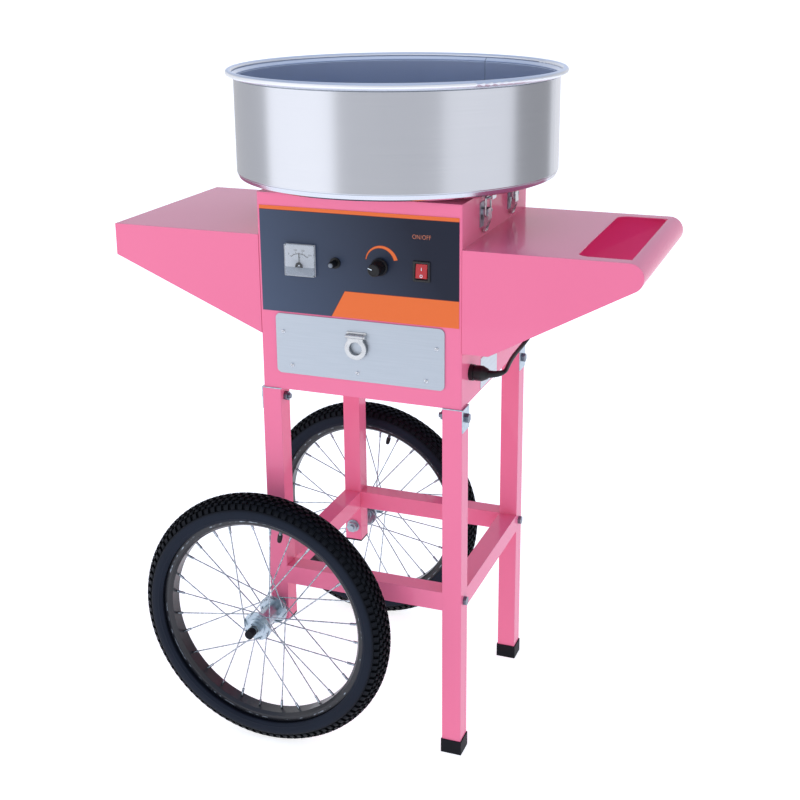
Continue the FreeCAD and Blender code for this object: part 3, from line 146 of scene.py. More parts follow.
class Finish:
    """A material. add() puts a node in it and gives that node's output."""

    def __init__(self, name, color, roughness, metallic=0.0, **steady):
        self.material = bpy.data.materials.new(name)
        self.material.use_nodes = True
        self.tree = self.material.node_tree
        self.shader = self.tree.nodes["Principled BSDF"]
        self.where = self.add("TexCoord", output="Object")
        self.set("Base Color", rgba(color))
        self.set("Roughness", roughness)
        self.set("Metallic", metallic)
        for label, amount in steady.items():
            self.set(label.replace("_", " "), amount)

    def add(self, kind, settings=None, *inputs, output=0, **named):
        item = self.tree.nodes.new("ShaderNode" + kind)
        for key, setting in (settings or {}).items():
            if key == "stops":
                ramp = item.color_ramp.elements
                while len(ramp) < len(setting):
                    ramp.new(0.5)
                for stop, (place, color) in zip(ramp, setting):
                    stop.position = place
                    stop.color = (*color, 1.0)
            else:
                setattr(item, key, setting)
        for place, value in [*enumerate(inputs), *named.items()]:
            self.feed(item.inputs[place], value)
        return Channel(self, item.outputs[output])

    def feed(self, socket, value):
        if isinstance(value, Channel):
            self.tree.links.new(value.socket, socket)
        else:
            socket.default_value = value

    def set(self, label, value):
        self.feed(self.shader.inputs[label], value)

    def place(self):
        """Where a point lies, in metres along X, Y and Z."""
        return [self.add("SeparateXYZ", None, self.where, output=axis) for axis in "XYZ"]

    def noise(self, scale, detail=2.0, stretch=(1, 1, 1)):
        spread = self.add("VectorMath", {"operation": "MULTIPLY"}, self.where, stretch)
        return self.add("TexNoise", None, Vector=spread, Scale=scale, Detail=detail)

    def mix(self, share, first, second):
        """The first colour at share 0 and the second at share 1."""
        return self.add("MixRGB", None, share, rgba(first), rgba(second))

    def tint(self, share, first, second):
        self.set("Base Color", self.mix(share, first, second))

    def relief(self, height, depth, edge=0.0):
        """Fine relief, with the solid's sharp edges rounded by the edge's radius."""
        grain = self.add("Bump", None, Strength=1.0, Distance=depth, Height=height)
        if edge:
            rounded = self.add("Bevel", {"samples": 4}, Radius=edge)
            self.feed(grain.socket.node.inputs["Normal"], rounded)
        self.set("Normal", grain)


def make_mesh(name, points, faces):
    mesh = bpy.data.meshes.new(name)
    mesh.from_pydata([tuple(point) for point in points], [], faces)
    mesh.update()
    return placed(name, mesh)


floor_finish = Finish(
    "studio_floor", (0.88, 0.88, 0.88), 0.9, Emission_Color=(1, 1, 1, 1), Emission_Strength=0.72)
floor_finish.relief(floor_finish.noise(60.0), 0.0001)
FLOOR_REACH = 30
CORNERS = ((-1, -1), (1, -1), (1, 1), (-1, 1))
floor_corners = [(x * FLOOR_REACH, y * FLOOR_REACH, 0) for x, y in CORNERS]
floor = make_mesh("studio_floor", floor_corners, [(0, 1, 2, 3)])
floor.data.materials.append(floor_finish.material)

SOFT_BOXES = (
    # place, aim, width, height, watts
    ((-1.1, -3.3, 1.5), (0, 0, 0.7), 2.6, 2.2, 13),
    ((-2.5, -2.3, 0.7), (0, 0, 0.6), 1.0, 1.2, 6),
    ((0.2, -0.2, 3.4), (0, 0, 0.9), 2.6, 2.2, 3),
)
for number, (spot, aim, wide, tall, watts) in enumerate(SOFT_BOXES, start=1):
    lamp = bpy.data.lights.new(f"soft_box_{number}", "AREA")
    lamp.shape = "RECTANGLE"
    lamp.size = wide
    lamp.size_y = tall
    lamp.energy = watts
    holder = placed(f"soft_box_{number}", lamp)
    holder.location = spot
    holder.rotation_euler = (Vector(aim) - Vector(spot)).to_track_quat("-Z", "Y").to_euler()

STUDIO_BOARDS = (
    # from and to, in degrees to the right of the front, and how bright the board is
    (-75, -20, 1.3),
    (-20, 50, 0.7),
    (50, 105, 1.0),
    (105, 150, 0.4),
    (150, 225, 1.0),
    (225, 285, 0.6),
)
FIRST_BOARD = 75  # how many degrees to the left of the front the boards start
BOARD_BLEND = 0.004  # half the blend from board to board, as a share of the circle
BOARD_BLUE = 1.05
boards = Finish("studio_boards", (0, 0, 0), 1.0, Emission_Strength=1.0)
board_x, board_y, _ = boards.place()
board_turn = board_x.bearing(board_y * -1) / (2 * math.pi)
tones = []
for start, stop, bright in STUDIO_BOARDS:
    for angle, inward in ((start, BOARD_BLEND), (stop, -BOARD_BLEND)):
        tones.append(((angle + FIRST_BOARD) / 360 + inward, (bright, bright, bright * BOARD_BLUE)))
board_share = (board_turn + 1 + FIRST_BOARD / 360) % 1
boards.set("Emission Color", boards.add("ValToRGB", {"stops": tones}, board_share))
BOARD_OUT, BOARD_TOP, BOARD_SIDES = 2.4, 2.3, 72
board_points, board_faces = [], []
for side in range(BOARD_SIDES):
    angle = 2 * math.pi * side / BOARD_SIDES
    for high in (0.01, BOARD_TOP):
        board_points.append((BOARD_OUT * math.cos(angle), BOARD_OUT * math.sin(angle), high))
    after = (side + 1) % BOARD_SIDES
    board_faces.append((2 * side, 2 * after, 2 * after + 1, 2 * side + 1))
board_ring = make_mesh("studio_boards", board_points, board_faces)
board_ring.data.materials.append(boards.material)
for sight_kind in ("camera", "diffuse", "shadow", "transmission"):
    setattr(board_ring, f"visible_{sight_kind}", False)

world = bpy.data.worlds.new("studio_room")
world.use_nodes = True
bpy.context.scene.world = world
room = world.node_tree
room_look, room_split, room_sky, room_tone = (
    room.nodes.new("ShaderNode" + kind) for kind in ("TexCoord", "SeparateXYZ", "MapRange", "MixRGB"))
room_sky.inputs["From Min"].default_value = 0.30
room_sky.inputs["From Max"].default_value = 0.60
room_tone.inputs[1].default_value = (0.86, 0.88, 0.92, 1)
room_tone.inputs[2].default_value = (0.42, 0.51, 0.72, 1)
backdrop = room.nodes["Background"]
backdrop.inputs["Strength"].default_value = 1.0
room.links.new(room_look.outputs["Generated"], room_split.inputs[0])
room.links.new(room_split.outputs["Z"], room_sky.inputs["Value"])
room.links.new(room_sky.outputs[0], room_tone.inputs[0])
room.links.new(room_tone.outputs[0], backdrop.inputs["Color"])


# ------------ cart frame
# Four legs of 30 mm square steel tube and a ring of rails, welded and powder coated in gloss pink
# together with the sheet parts that come later.

PINK = "ed7c9c"
PINK_DEEP = "e97396"
# The deeper pink inside the right shelf is painted shade.
PINK_PAINTED_SHADE = "d2366e"


def paint(made, finish):
    made.data.materials.clear()
    made.data.materials.append(finish.material)


def coat(finish, *names):
    """Gives the frame's own solids a finish."""
    for name in names:
        paint(nodes[name], finish)


pink_paint = Finish(
    "pink_gloss_paint", PINK, 0.32, Coat_Weight=0.3, Coat_Roughness=0.04, Specular_IOR_Level=0.05)
pink_x, pink_y, pink_z = pink_paint.place()
# Inside the right shelf, between these places along X, Y and Z, a deeper pink is painted in as shade.
INSIDE_X, INSIDE_Y, INSIDE_Z = (161, 384), (-163.2, 157.2), (640, 807.2)
shelf_shade = (pink_x / MM - MIDDLE).within(*INSIDE_X, 0.5) * (pink_y / MM).within(*INSIDE_Y, 0.2)
shelf_shade = shelf_shade * (pink_z / MM).within(*INSIDE_Z, 0.2)
pink_drift = pink_paint.noise(3.0, 2.0)
pink_peel = pink_paint.noise(520.0, 1.0)
pink_coat = pink_paint.mix(pink_drift, PINK, PINK_DEEP)
pink_paint.tint(shelf_shade, pink_coat, PINK_PAINTED_SHADE)
pink_paint.set("Roughness", 0.20 + 0.10 * pink_drift)
pink_paint.relief(pink_peel, 0.00001, edge=0.0009)
coat(pink_paint, "leg_front_left", "leg_rear_left", "leg_front_right", "leg_rear_right", "frame_rails")


# ------------ end caps
# Moulded black rubber caps are pushed over the feet of the two standing legs and the axle ends,
# and plugs of the same rubber close the two cut-off legs.

cap_rubber = Finish("cap_rubber", "1e2128", 0.55, Specular_IOR_Level=0.12)
cap_grain = cap_rubber.noise(900.0, 3.0)
cap_scuff = cap_rubber.noise(60.0, 4.0)
cap_rubber.tint(cap_scuff, "08090d", "15161e")
cap_rubber.set("Roughness", 0.42 + 0.25 * cap_scuff)
cap_rubber.relief(cap_grain, 0.00006, edge=0.0012)
coat(cap_rubber, "end_caps")


# ------------ zinc-plated hardware
# Brackets, hubs, axles, latch bases, screws and drawer runners are steel plated in bright zinc
# with a faint blue cast. The bolts that hold the frame are darker.


def grained(name, tones, roughness, grain, relief=None, metallic=0.0, contrast=None, **steady):
    """A finish whose colour, roughness and fine relief all follow one noise.

    It takes one or two colours, the lowest roughness and how far it rises, the noise's scale,
    detail and stretch, and the relief's depth with the radius that its sharp edges get.
    """
    finish = Finish(name, tones[0], roughness[0], metallic, **steady)
    cloud = finish.noise(*grain)
    if len(tones) > 1:
        share = cloud.over(*contrast) if contrast else cloud
        finish.tint(share, *tones)
    finish.set("Roughness", roughness[0] + roughness[1] * cloud)
    if relief:
        finish.relief(cloud, *relief)
    return finish


zinc = grained(
    "zinc_plate", ("9aa8b2", "bdc9d1"), (0.24, 0.14), (140.0, 3.0), (0.00003, 0.0005),
    metallic=1.0, contrast=(0.5, 0.3))
coat(
    zinc, "leg_brackets", "front_hub", "rear_hub", "wheel_axles", "latch_bases",
    "body_screws", "drawer_runners",
)

dark_bolt = grained(
    "dark_bolt", ("565d68", "8b939d"), (0.26, 0.2), (200.0, 3.0), (0.00003, 0.0004), metallic=1.0)
coat(dark_bolt, "frame_bolts")


# ------------ spokes and rims
# Twenty-eight crossed steel spokes a wheel lead to a black painted channel rim, which is worn
# bright in places along its edges.

WHEEL_X, WHEEL_Y, WHEEL_Z = -144.5, 216, 208
RIM_EDGE = (0.1677, 0.1693)  # where the rim's edge lies from the axle, in metres


def body_point(x, y, z):
    """A point given in millimetres from the body's centre line, in the frame's metres."""
    return Vector((x + MIDDLE, y, z)) * MM


spoke_steel = grained(
    "spoke_steel", ("7c8791", "bcc5cc"), (0.14, 0.2), (260.0,), metallic=1.0, contrast=(0.5, 0.2))
coat(spoke_steel, "front_spokes", "rear_spokes")


def from_axle(x, z):
    """How far a place is from the wheels' common axle line."""
    return (x - (WHEEL_X + MIDDLE) * MM).hypot(z - WHEEL_Z * MM)


rim_paint = Finish("rim_paint", "14161d", 0.3, 0.0, Coat_Weight=0.12, Coat_Roughness=0.15)
rim_x, _, rim_z = rim_paint.place()
rim_worn = rim_paint.noise(90.0, 4.0)
bare_line = from_axle(rim_x, rim_z).within(*RIM_EDGE, 0.0003) * rim_worn.over(0.58, 0.1)
rim_paint.tint(bare_line, "14161d", "a4aeb9")
rim_paint.set("Metallic", bare_line)
rim_paint.set("Roughness", 0.26 + 0.16 * rim_worn)
rim_paint.relief(rim_worn, 0.00003, edge=0.0006)
coat(rim_paint, "front_rim", "rear_rim")


# ------------ tyres
# Moulded rubber tyres, 50 mm wide: nine staggered rows of a hundred knobs over the tread, the
# outer ones longest, smooth sides with fine rings and a few vent pips, and a valve with its cap.

TREAD_CENTRE = 183
SKIN, SIDE_SKIN = 21.9, 24.9
KNOB_TOP = 25.0
WIDEST = 24.97
BEAD = 172.4
SIDE_START, SIDE_BLEND = 64, 12  # where the carcass swells from the tread to the side, in degrees
SIDE_RINGS = ((72, 0.6), (78, 0.5), (105, 0.5), (123, 0.6))  # angle and height of each ring
TREAD_FOOT, GAP_DEPTH = 0.006, 0.0238  # in metres: where the tread starts, how deep its gaps lie
KNOBS_ROUND = 100
KNOB_ROWS = [
    # angle across the section, half width and half length in millimetres, phase
    (0, 2.5, 4.1, 0.0),
    (14, 2.3, 3.9, 0.5),
    (28, 2.3, 3.9, 0.0),
    (42, 2.4, 3.9, 0.5),
    (60, 4.6, 4.0, 0.0),
]


def shade(made, angle=35, merge=False):
    """Smooth shading with the creases left sharp. merge first joins points in one place."""
    bm = bmesh.new()
    bm.from_mesh(made.data)
    if merge:
        bmesh.ops.remove_doubles(bm, verts=bm.verts, dist=1e-7)
    bmesh.ops.recalc_face_normals(bm, faces=bm.faces)
    bm.to_mesh(made.data)
    bm.free()
    made.data.shade_smooth()
    made.data.set_sharp_from_angle(angle=math.radians(angle))
    return made


def square_to(axis):
    """An axis and two directions at right angles to it."""
    axis = Vector(axis).normalized()
    aside = Vector((0, 0, 1)) if abs(axis.z) < 0.9 else Vector((1, 0, 0))
    aside = (aside - aside.dot(axis) * axis).normalized()
    return axis, aside, axis.cross(aside)


def lathe(name, profile, spot, axis, steps):
    """A turned piece: a profile of (radius, distance) in millimetres about an axis through a spot."""
    axis, aside, other = square_to(axis)
    points, faces = [], []
    for step in range(steps):
        angle = 2 * math.pi * step / steps
        spoke_way = math.cos(angle) * aside + math.sin(angle) * other
        points += [spot + (radius * spoke_way + along * axis) * MM for radius, along in profile]
    rows = len(profile)
    for step in range(steps):
        after = (step + 1) % steps
        for row in range(rows - 1):
            low, high = step * rows + row, after * rows + row
            faces.append((low, low + 1, high + 1, high))
    return shade(make_mesh(name, points, faces), merge=True)


def joined(name, *parts):
    """Several made pieces as one."""
    bm = bmesh.new()
    for part in parts:
        bm.from_mesh(part.data)
    mesh = bpy.data.meshes.new(name)
    bm.to_mesh(mesh)
    bm.free()
    made = placed(name, mesh)
    for part in parts:
        bpy.data.objects.remove(part)
    return shade(made)


def dress(made, finish, body, slot, *stands_for):
    """Gives a piece its finish, its body and the nodes it stands for. The slot is not used."""
    paint(made, finish)
    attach(made, body)
    if stands_for:
        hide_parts(*stands_for)
    return made


def section_point(wheel, turn, angle, depth):
    """A point on a tyre, by turn round the wheel, angle across its section and depth from there."""
    radius = TREAD_CENTRE + depth * math.cos(angle)
    spot = Vector((radius * math.cos(turn), depth * math.sin(angle), radius * math.sin(turn)))
    return wheel + spot * MM


def ring_faces(low, high, count):
    """The faces between two closed rings of points, from the first number of each."""
    return [
        (low + edge, low + (edge + 1) % count, high + (edge + 1) % count, high + edge)
        for edge in range(count)
    ]


def tyre_knobs(wheel):
    points, faces = [], []
    for tilt, half_wide, half_long, phase in KNOB_ROWS:
        for side in ((-1, 1) if tilt else (1,)):
            for number in range(KNOBS_ROUND):
                turn = 2 * math.pi * (number + phase) / KNOBS_ROUND
                reach = TREAD_CENTRE + KNOB_TOP * math.cos(math.radians(tilt))
                first = len(points)
                for depth, share in ((SKIN - 1.2, 1.0), (KNOB_TOP - 0.35, 0.9), (KNOB_TOP, 0.74)):
                    wide = share * half_wide / KNOB_TOP
                    long = share * half_long / reach
                    middle = side * math.radians(tilt)
                    for dx, dy in CORNERS:
                        points.append(section_point(wheel, turn + dx * long, middle + dy * wide, depth))
                faces += ring_faces(first, first + 4, 4) + ring_faces(first + 4, first + 8, 4)
                faces.append((first + 8, first + 9, first + 10, first + 11))
    return make_mesh("tyre_knobs", points, faces)


def tyre_profile():
    """The carcass section from one bead over the tread to the other, as radius and distance."""
    outline = []
    for step in range(-134, 135, 3):
        angle = abs(step)
        rise = min(1, max(0, (angle - SIDE_START) / SIDE_BLEND))
        depth = SKIN + (SIDE_SKIN - SKIN) * rise * rise * (3 - 2 * rise)
        depth += sum(high for ring, high in SIDE_RINGS if abs(angle - ring) < 2)
        depth = min(depth, WIDEST) if angle < 100 else depth
        turn = math.radians(step)
        radius = TREAD_CENTRE + depth * math.cos(turn)
        if radius > BEAD:
            outline.append((radius, depth * math.sin(turn)))
    last_radius, last_out = outline[-1]
    lip = [(last_radius - 0.6, last_out - 1.2), (BEAD, 18.0), (174.5, 12.5), (166.8, 12.2), (166.8, 9.4)]
    near = [(radius, -out) for radius, out in reversed(lip)]
    return near + outline + lip


tyre_rubber = Finish(
    "tyre_rubber", "17191f", 0.5, Specular_IOR_Level=0.15, Specular_Tint=(0.7, 0.8, 1, 1))
tyre_x, tyre_y, tyre_z = tyre_rubber.place()
tyre_grain = tyre_rubber.noise(700.0, 3.0)
tyre_dust = tyre_rubber.noise(22.0, 4.0)
tyre_ring = from_axle(tyre_x, tyre_z) - TREAD_CENTRE * MM
tyre_depth = tyre_ring.hypot(abs(tyre_y) - WHEEL_Y * MM)
tyre_tread = tyre_ring.over(TREAD_FOOT, 0.003)
# The gaps between the knobs are painted near black as painted shade.
tyre_groove_shade = (1 - tyre_depth.over(GAP_DEPTH, 0.0006)) * tyre_tread
tyre_dusty = tyre_rubber.mix(tyre_dust, "10141d", "191f2b")
tyre_dusty = tyre_rubber.mix(tyre_tread, tyre_dusty, "06070a")
tyre_rubber.tint(tyre_groove_shade, tyre_dusty, "010102")
tyre_rubber.set("Roughness", 0.40 + 0.22 * tyre_dust)
tyre_rubber.relief(tyre_grain, 0.00007)

moulded_black = grained(
    "moulded_black", ("0a0b0e",), (0.32, 0.2), (900.0,), (0.00003, 0.0004), Specular_IOR_Level=0.35)

PIPS_ROUND, PIP_ANGLE = 18, math.radians(113)
VALVE_FOOT = 149  # where the cap ends and the stem starts, from the wheel's axle
for place, end, valve_angle in (("front", -1, -78), ("rear", 1, -75)):
    wheel = body_point(WHEEL_X, end * WHEEL_Y, WHEEL_Z)
    carcass = lathe("carcass", tyre_profile(), wheel, (0, 1, 0), 200)
    pips = []
    for side in (-1, 1):
        for number in range(PIPS_ROUND):
            turn = 2 * math.pi * (number + 0.3 * side) / PIPS_ROUND
            foot = section_point(wheel, turn, side * PIP_ANGLE, SIDE_SKIN - 0.3)
            outward = (section_point(wheel, turn, side * PIP_ANGLE, SIDE_SKIN) - foot).normalized()
            pips.append(lathe("pip", [(0, 1.0), (0.45, 0.9), (0.55, 0)], foot, outward, 8))
    tyre = joined(f"{place}_tyre_rubber", carcass, tyre_knobs(wheel), *pips)
    dress(tyre, tyre_rubber, f"{place}_wheel", "tyre_rubber", f"{place}_tyre")
    way = math.radians(valve_angle)
    outward = Vector((math.cos(way), 0, -math.sin(way)))
    stem = [(0, VALVE_FOOT), (2.6, VALVE_FOOT)]
    for thread in range(12):
        stem += [(2.6, VALVE_FOOT + 0.6 + thread), (2.95, VALVE_FOOT + 1.1 + thread)]
    stem += [(3.0, 162), (0, 162)]
    valve_stem = lathe(f"{place}_valve_stem", stem, wheel, outward, 20)
    dress(valve_stem, spoke_steel, f"{place}_wheel", "zinc")
    cap = [(0, 137), (2.4, 137), (3.1, 137.8), (3.4, 139), (3.4, 140), (3.0, 140.4), (3.9, 141.2),
           (3.9, 149.4), (3.3, 150.2), (0, 150.2)]
    valve_cap = lathe(f"{place}_valve_cap", cap, wheel, outward, 24)
    dress(valve_cap, moulded_black, f"{place}_wheel", "black_plastic")


# ------------ body box
# A folded sheet-steel box, 316 mm wide and 328 mm deep, with a lid that carries the seat ring of
# the bowl. It is sprayed with the frame's paint. A bare alloy plate is riveted low on its side.

coat(pink_paint, "body_shell", "top_plate")

plate_alloy = grained(
    "plate_alloy", ("b4bac1", "dcdfe2"), (0.28, 0.2), (240.0, 3.0, (1, 0.04, 1)), (0.00002,),
    metallic=1.0)
coat(plate_alloy, "rating_plate")


# ------------ control panel film
# One sheet of printed polycarbonate film, slate grey, with an orange stripe along its top, a
# slanted orange field low on the right, and a widening orange arc over the knob.

FILM_HALF, FILM_FOOT, FILM_TALL = 154, 694, 159
STRIPE_FOOT, FIELD_TOP, FIELD_LEAN, FIELD_FOOT = 847.7, 733.5, 0.55, 42
ARC_X, ARC_Z, ARC_RADIUS = 35.5, 780.5, 21.6
SHARP, CLEAN = 0.3, 0.25  # half the blur at the edge of a print, in millimetres
film_ink = Finish("film_ink", "353f50", 0.3, Specular_IOR_Level=0.25)
film_x, _, film_z = film_ink.place()
fx = film_x / MM - MIDDLE
fz = film_z / MM
SLATE_LEFT, SLATE_RIGHT = "435066", "141a2c"
ORANGE, ORANGE_DARK = "e26a2e", "5e2b26"
slate_share = (fx + FILM_HALF) / (2 * FILM_HALF) + (fz - FILM_FOOT) / FILM_TALL * 0.25
film_color = film_ink.mix(slate_share, SLATE_LEFT, SLATE_RIGHT)


def printed(mask, color, ground):
    """One ink over the colours already on the film."""
    return film_ink.mix(mask, ground, color)


film_color = printed(fz.over(STRIPE_FOOT - 0.8, CLEAN), ORANGE_DARK, film_color)
film_color = printed(fz.over(STRIPE_FOOT, CLEAN), ORANGE, film_color)
slant = fx - (fz - FILM_FOOT) * FIELD_LEAN + FIELD_FOOT
field = slant.over(0, SHARP) * (1 - fz.over(FIELD_TOP, SHARP))
field_edge = slant.over(-0.8, SHARP) * (1 - fz.over(FIELD_TOP + 0.9, SHARP))
film_color = printed(field_edge, ORANGE_DARK, film_color)
film_color = printed(field, ORANGE, film_color)
arc_x, arc_z = fx - ARC_X, fz - ARC_Z
arc_radius = arc_x.hypot(arc_z)
arc_share = 1 - arc_z.bearing(arc_x) / math.pi
arc_wide = 0.7 + arc_share * 5.2
arc_part = arc_share.within(0.055, 0.93, 0.004) * arc_z.over(0, SHARP)


def arc_band(grow):
    gap = abs(arc_radius - (ARC_RADIUS + arc_wide / 2)) - arc_wide / 2 - grow
    return (1 - gap.over(0, CLEAN)) * arc_part


film_color = printed(arc_band(0.7), ORANGE_DARK, film_color)
film_color = printed(arc_band(0.0), ORANGE, film_color)
film_ink.set("Base Color", film_color)
film_grain = film_ink.noise(1400.0, 1.0)
film_ink.set("Roughness", 0.24 + 0.14 * film_grain)
film_ink.relief(film_grain, 0.00001)
coat(film_ink, "panel_film")

label_ink = grained("label_ink", ("c9704a",), (0.34, 0.14), (900.0,))
CAPITAL = 0.70  # how tall the font's capitals are, as a share of its size


def lettering(name, words, tall, middle, depth=0.03, narrow=1.0):
    """Upright printed letters facing the front, made of flat strokes."""
    letters = bpy.data.curves.new(name, "FONT")
    letters.body = words
    letters.size = tall / CAPITAL
    letters.align_x = "CENTER"
    letters.resolution_u = 3
    letters.extrude = depth
    letters.offset = -0.02 * tall
    lying = placed(name + "_lying", letters)
    mesh = bpy.data.meshes.new_from_object(lying)
    bpy.data.objects.remove(lying)
    x, y, z = middle
    mesh.transform(Matrix(((narrow, 0, 0, x), (0, 0, -1, y), (0, 1, 0, z - tall / 2), (0, 0, 0, 1))))
    mesh.transform(Matrix.Scale(MM, 4))
    mesh.transform(Matrix.Translation((MIDDLE * MM, 0, 0)))
    return placed(name, mesh)


switch_words = lettering("switch_words", "ON/OFF", 6.5, (98.6, -164.86, 822.5), narrow=0.84)
dress(switch_words, label_ink, "chassis", "film")


# ------------ voltmeter
# A square moving-coil meter: a moulded case behind the film, a white printed card, a thin needle
# on a pivot, a dark half-moon cover with its zero screw, and a clear bevelled window.

METER_X, METER_Z, PIVOT_Z = -89, 775.3, 767.467
CARD_FACE = -168.05  # how far forward the print on the card lies
CARD_SHADE = 765.4  # the card is greyer below this height
meter_case = grained("meter_case", ("c8cbd0",), (0.34, 0.15), (500.0,), (0.00002, 0.0005))
coat(meter_case, "voltmeter_body")
coat(moulded_black, "voltmeter_needle")


def rounded_outline(wide, tall, corner, steps=5):
    """Corner-rounded rectangle about the origin, as (across, up) points."""
    points = []
    for number, (sx, sz) in enumerate(((1, 1), (-1, 1), (-1, -1), (1, -1))):
        for step in range(steps + 1):
            angle = math.radians(90 * (number + step / steps))
            points.append((
                sx * (wide / 2 - corner) + corner * math.cos(angle),
                sz * (tall / 2 - corner) + corner * math.sin(angle),
            ))
    return points


def skin_faces(rows, count):
    """The faces of a skin over rows of count points, each row a closed ring."""
    lows = range(0, (rows - 1) * count, count)
    return [face for low in lows for face in ring_faces(low, low + count, count)]


def end_faces(rows, count):
    """The flat faces that close such a skin at its two ends."""
    return [tuple(range(count)), tuple(range((rows - 1) * count, rows * count))]


def stacked(name, middle, wide, tall, corner, layers, ring=False):
    """Rounded rectangles, each inset and set at a depth, skinned one to the next."""
    x, z = middle
    points = []
    for inset, depth in layers:
        small = max(0.3, corner - inset)
        for across_, up in rounded_outline(wide - 2 * inset, tall - 2 * inset, small):
            points.append(body_point(x + across_, depth, z + up))
    count = len(points) // len(layers)
    rows = len(layers)
    ends = ring_faces((rows - 1) * count, 0, count) if ring else end_faces(rows, count)
    return shade(make_mesh(name, points, skin_faces(rows, count) + ends), 25)


card_print = Finish("meter_card", "dfe3ea", 0.5)
_, _, card_z = card_print.place()
card_low = (card_z / MM).over(CARD_SHADE, 0.3)
card_print.tint(card_low, "aab2bd", "e6e9ee")
card_print.set("Roughness", 0.42 + 0.12 * card_print.noise(800.0))
meter_card = stacked("meter_card", (METER_X, METER_Z), 43.4, 43.4, 1.2, [(0, -167.85), (0, -168.0)])
dress(meter_card, card_print, "chassis", "white_plastic")

scale_ink = grained("scale_ink", ("23262d",), (0.42, 0.12), (900.0,))
SCALE_RADIUS, SCALE_SWEEP = 17.6, 45
strokes = []


def stroke(first, last, wide):
    """A straight printed line on the card between two (across, up) points about the pivot."""
    (x1, z1), (x2, z2) = first, last
    run = math.hypot(x2 - x1, z2 - z1)
    sx, sz = -(z2 - z1) / run * wide / 2, (x2 - x1) / run * wide / 2
    corners = [(x1 + sx, z1 + sz), (x1 - sx, z1 - sz), (x2 - sx, z2 - sz), (x2 + sx, z2 + sz)]
    depths = (CARD_FACE, CARD_FACE + 0.04)
    points = [body_point(METER_X + x, y, PIVOT_Z + z) for y in depths for x, z in corners]
    faces = [(0, 1, 2, 3), (7, 6, 5, 4), (0, 4, 5, 1), (1, 5, 6, 2), (2, 6, 7, 3), (3, 7, 4, 0)]
    strokes.append(make_mesh("stroke", points, faces))


def on_scale(degrees, radius):
    return radius * math.sin(math.radians(degrees)), radius * math.cos(math.radians(degrees))


ARC_STEPS = 24
for step in range(ARC_STEPS):
    angle = -SCALE_SWEEP + 2 * SCALE_SWEEP * step / ARC_STEPS
    ahead = angle + 2 * SCALE_SWEEP / ARC_STEPS
    stroke(on_scale(angle, SCALE_RADIUS), on_scale(ahead, SCALE_RADIUS), 0.45)
for tick in range(31):
    angle = -SCALE_SWEEP + 2 * SCALE_SWEEP * tick / 30
    rise = 3.2 if tick % 10 == 0 else (2.3 if tick % 5 == 0 else 1.4)
    stroke(on_scale(angle, SCALE_RADIUS), on_scale(angle, SCALE_RADIUS + rise), 0.5 if rise > 2 else 0.3)
dress(joined("meter_scale", *strokes), scale_ink, "chassis", "film")
figures = []
for number, words in enumerate(("0", "100", "200", "300")):
    across_, up = on_scale(-SCALE_SWEEP + 30 * number, SCALE_RADIUS + 6.0)
    spot = (METER_X + across_ * 0.98, CARD_FACE + 0.01, PIVOT_Z + up)
    figures.append(lettering("figure", words, 2.6, spot, 0.02))
figures.append(lettering("figure", "V", 3.6, (METER_X, CARD_FACE + 0.01, PIVOT_Z + 11.6), 0.02))
dress(joined("meter_figures", *figures), scale_ink, "chassis", "film")

HALF_MOON = 5.6
bow = [math.radians(angle) for angle in range(0, 181, 12)]
half_moon = [(HALF_MOON * math.cos(angle), HALF_MOON * math.sin(angle)) for angle in bow]
half_moon = [(6.4, -2.2), *half_moon, (-6.4, -2.2)]
moon_points = [
    body_point(METER_X + x * grow, y, PIVOT_Z + z * grow)
    for y, grow in ((-171.0, 1), (-171.9, 1), (-172.15, 0.93)) for x, z in half_moon
]
moon_count = len(half_moon)
moon_faces = end_faces(3, moon_count) + skin_faces(3, moon_count)
meter_cover = shade(make_mesh("meter_cover", moon_points, moon_faces))
dress(meter_cover, moulded_black, "chassis", "black_plastic")

window = Finish("meter_window", (0.96, 0.98, 1.0), 0.03, Transmission_Weight=1.0, IOR=1.45)
window.set("Roughness", 0.02 + 0.04 * window.noise(120.0))
WINDOW_SKINS = (
    # the outer skin and the inner one, each as (inset, depth)
    [(0, -167.82), (0, -171.6), (0.5, -172.2), (3.6, -173.7)],
    [(1.4, -167.82), (1.4, -171.3), (4.1, -172.45)],
)
meter_window = joined("meter_window", *(
    stacked("window_skin", (METER_X, METER_Z), 47, 47, 1.0, layers) for layers in WINDOW_SKINS
))
dress(meter_window, window, "chassis", "clear_plastic", "voltmeter_lens")
meter_window.visible_shadow = False

zero_screw = grained("zero_screw", ("d6d9dc",), (0.14, 0.2), (400.0,), metallic=1.0)


def screw_head(name, spot, radius, rise, cross, steps=40):
    """A domed head facing the front, with a cross recess, from a grid of rings."""
    rings = [0, 0.12, 0.2, 0.3, 0.42, 0.52, 0.62, 0.75, 0.88, 0.96, 1.0]
    points = []
    for ring in rings:
        for step in range(steps):
            angle = 2 * math.pi * step / steps
            x, z = radius * ring * math.cos(angle), radius * ring * math.sin(angle)
            high = rise * math.sqrt(max(0, 1 - ring ** 2.6))
            arm = min(abs(x), abs(z))
            if ring < 0.6 and arm < 0.16 * radius:
                high -= cross * (1 - ring / 0.62) ** 0.5
            points.append(spot + Vector((x, -high, z)) * MM)
    faces = skin_faces(len(rings), steps) + end_faces(len(rings), steps)[1:]
    return shade(make_mesh(name, points, faces), 30, merge=True)


meter_screw = screw_head("meter_screw", body_point(METER_X, -172.1, PIVOT_Z + 0.6), 1.7, 0.3, 0.25)
dress(meter_screw, zero_screw, "chassis", "chrome")


# ------------ fuse holder
# A screw-in fuse holder of black phenolic: a flange and nut on the panel, and a fluted carrier cap
# with a bright metal tip, turned a sixth of a turn to take it out.

FUSE_X, FUSE_Z = -34, 775
coat(moulded_black, "fuse_holder")


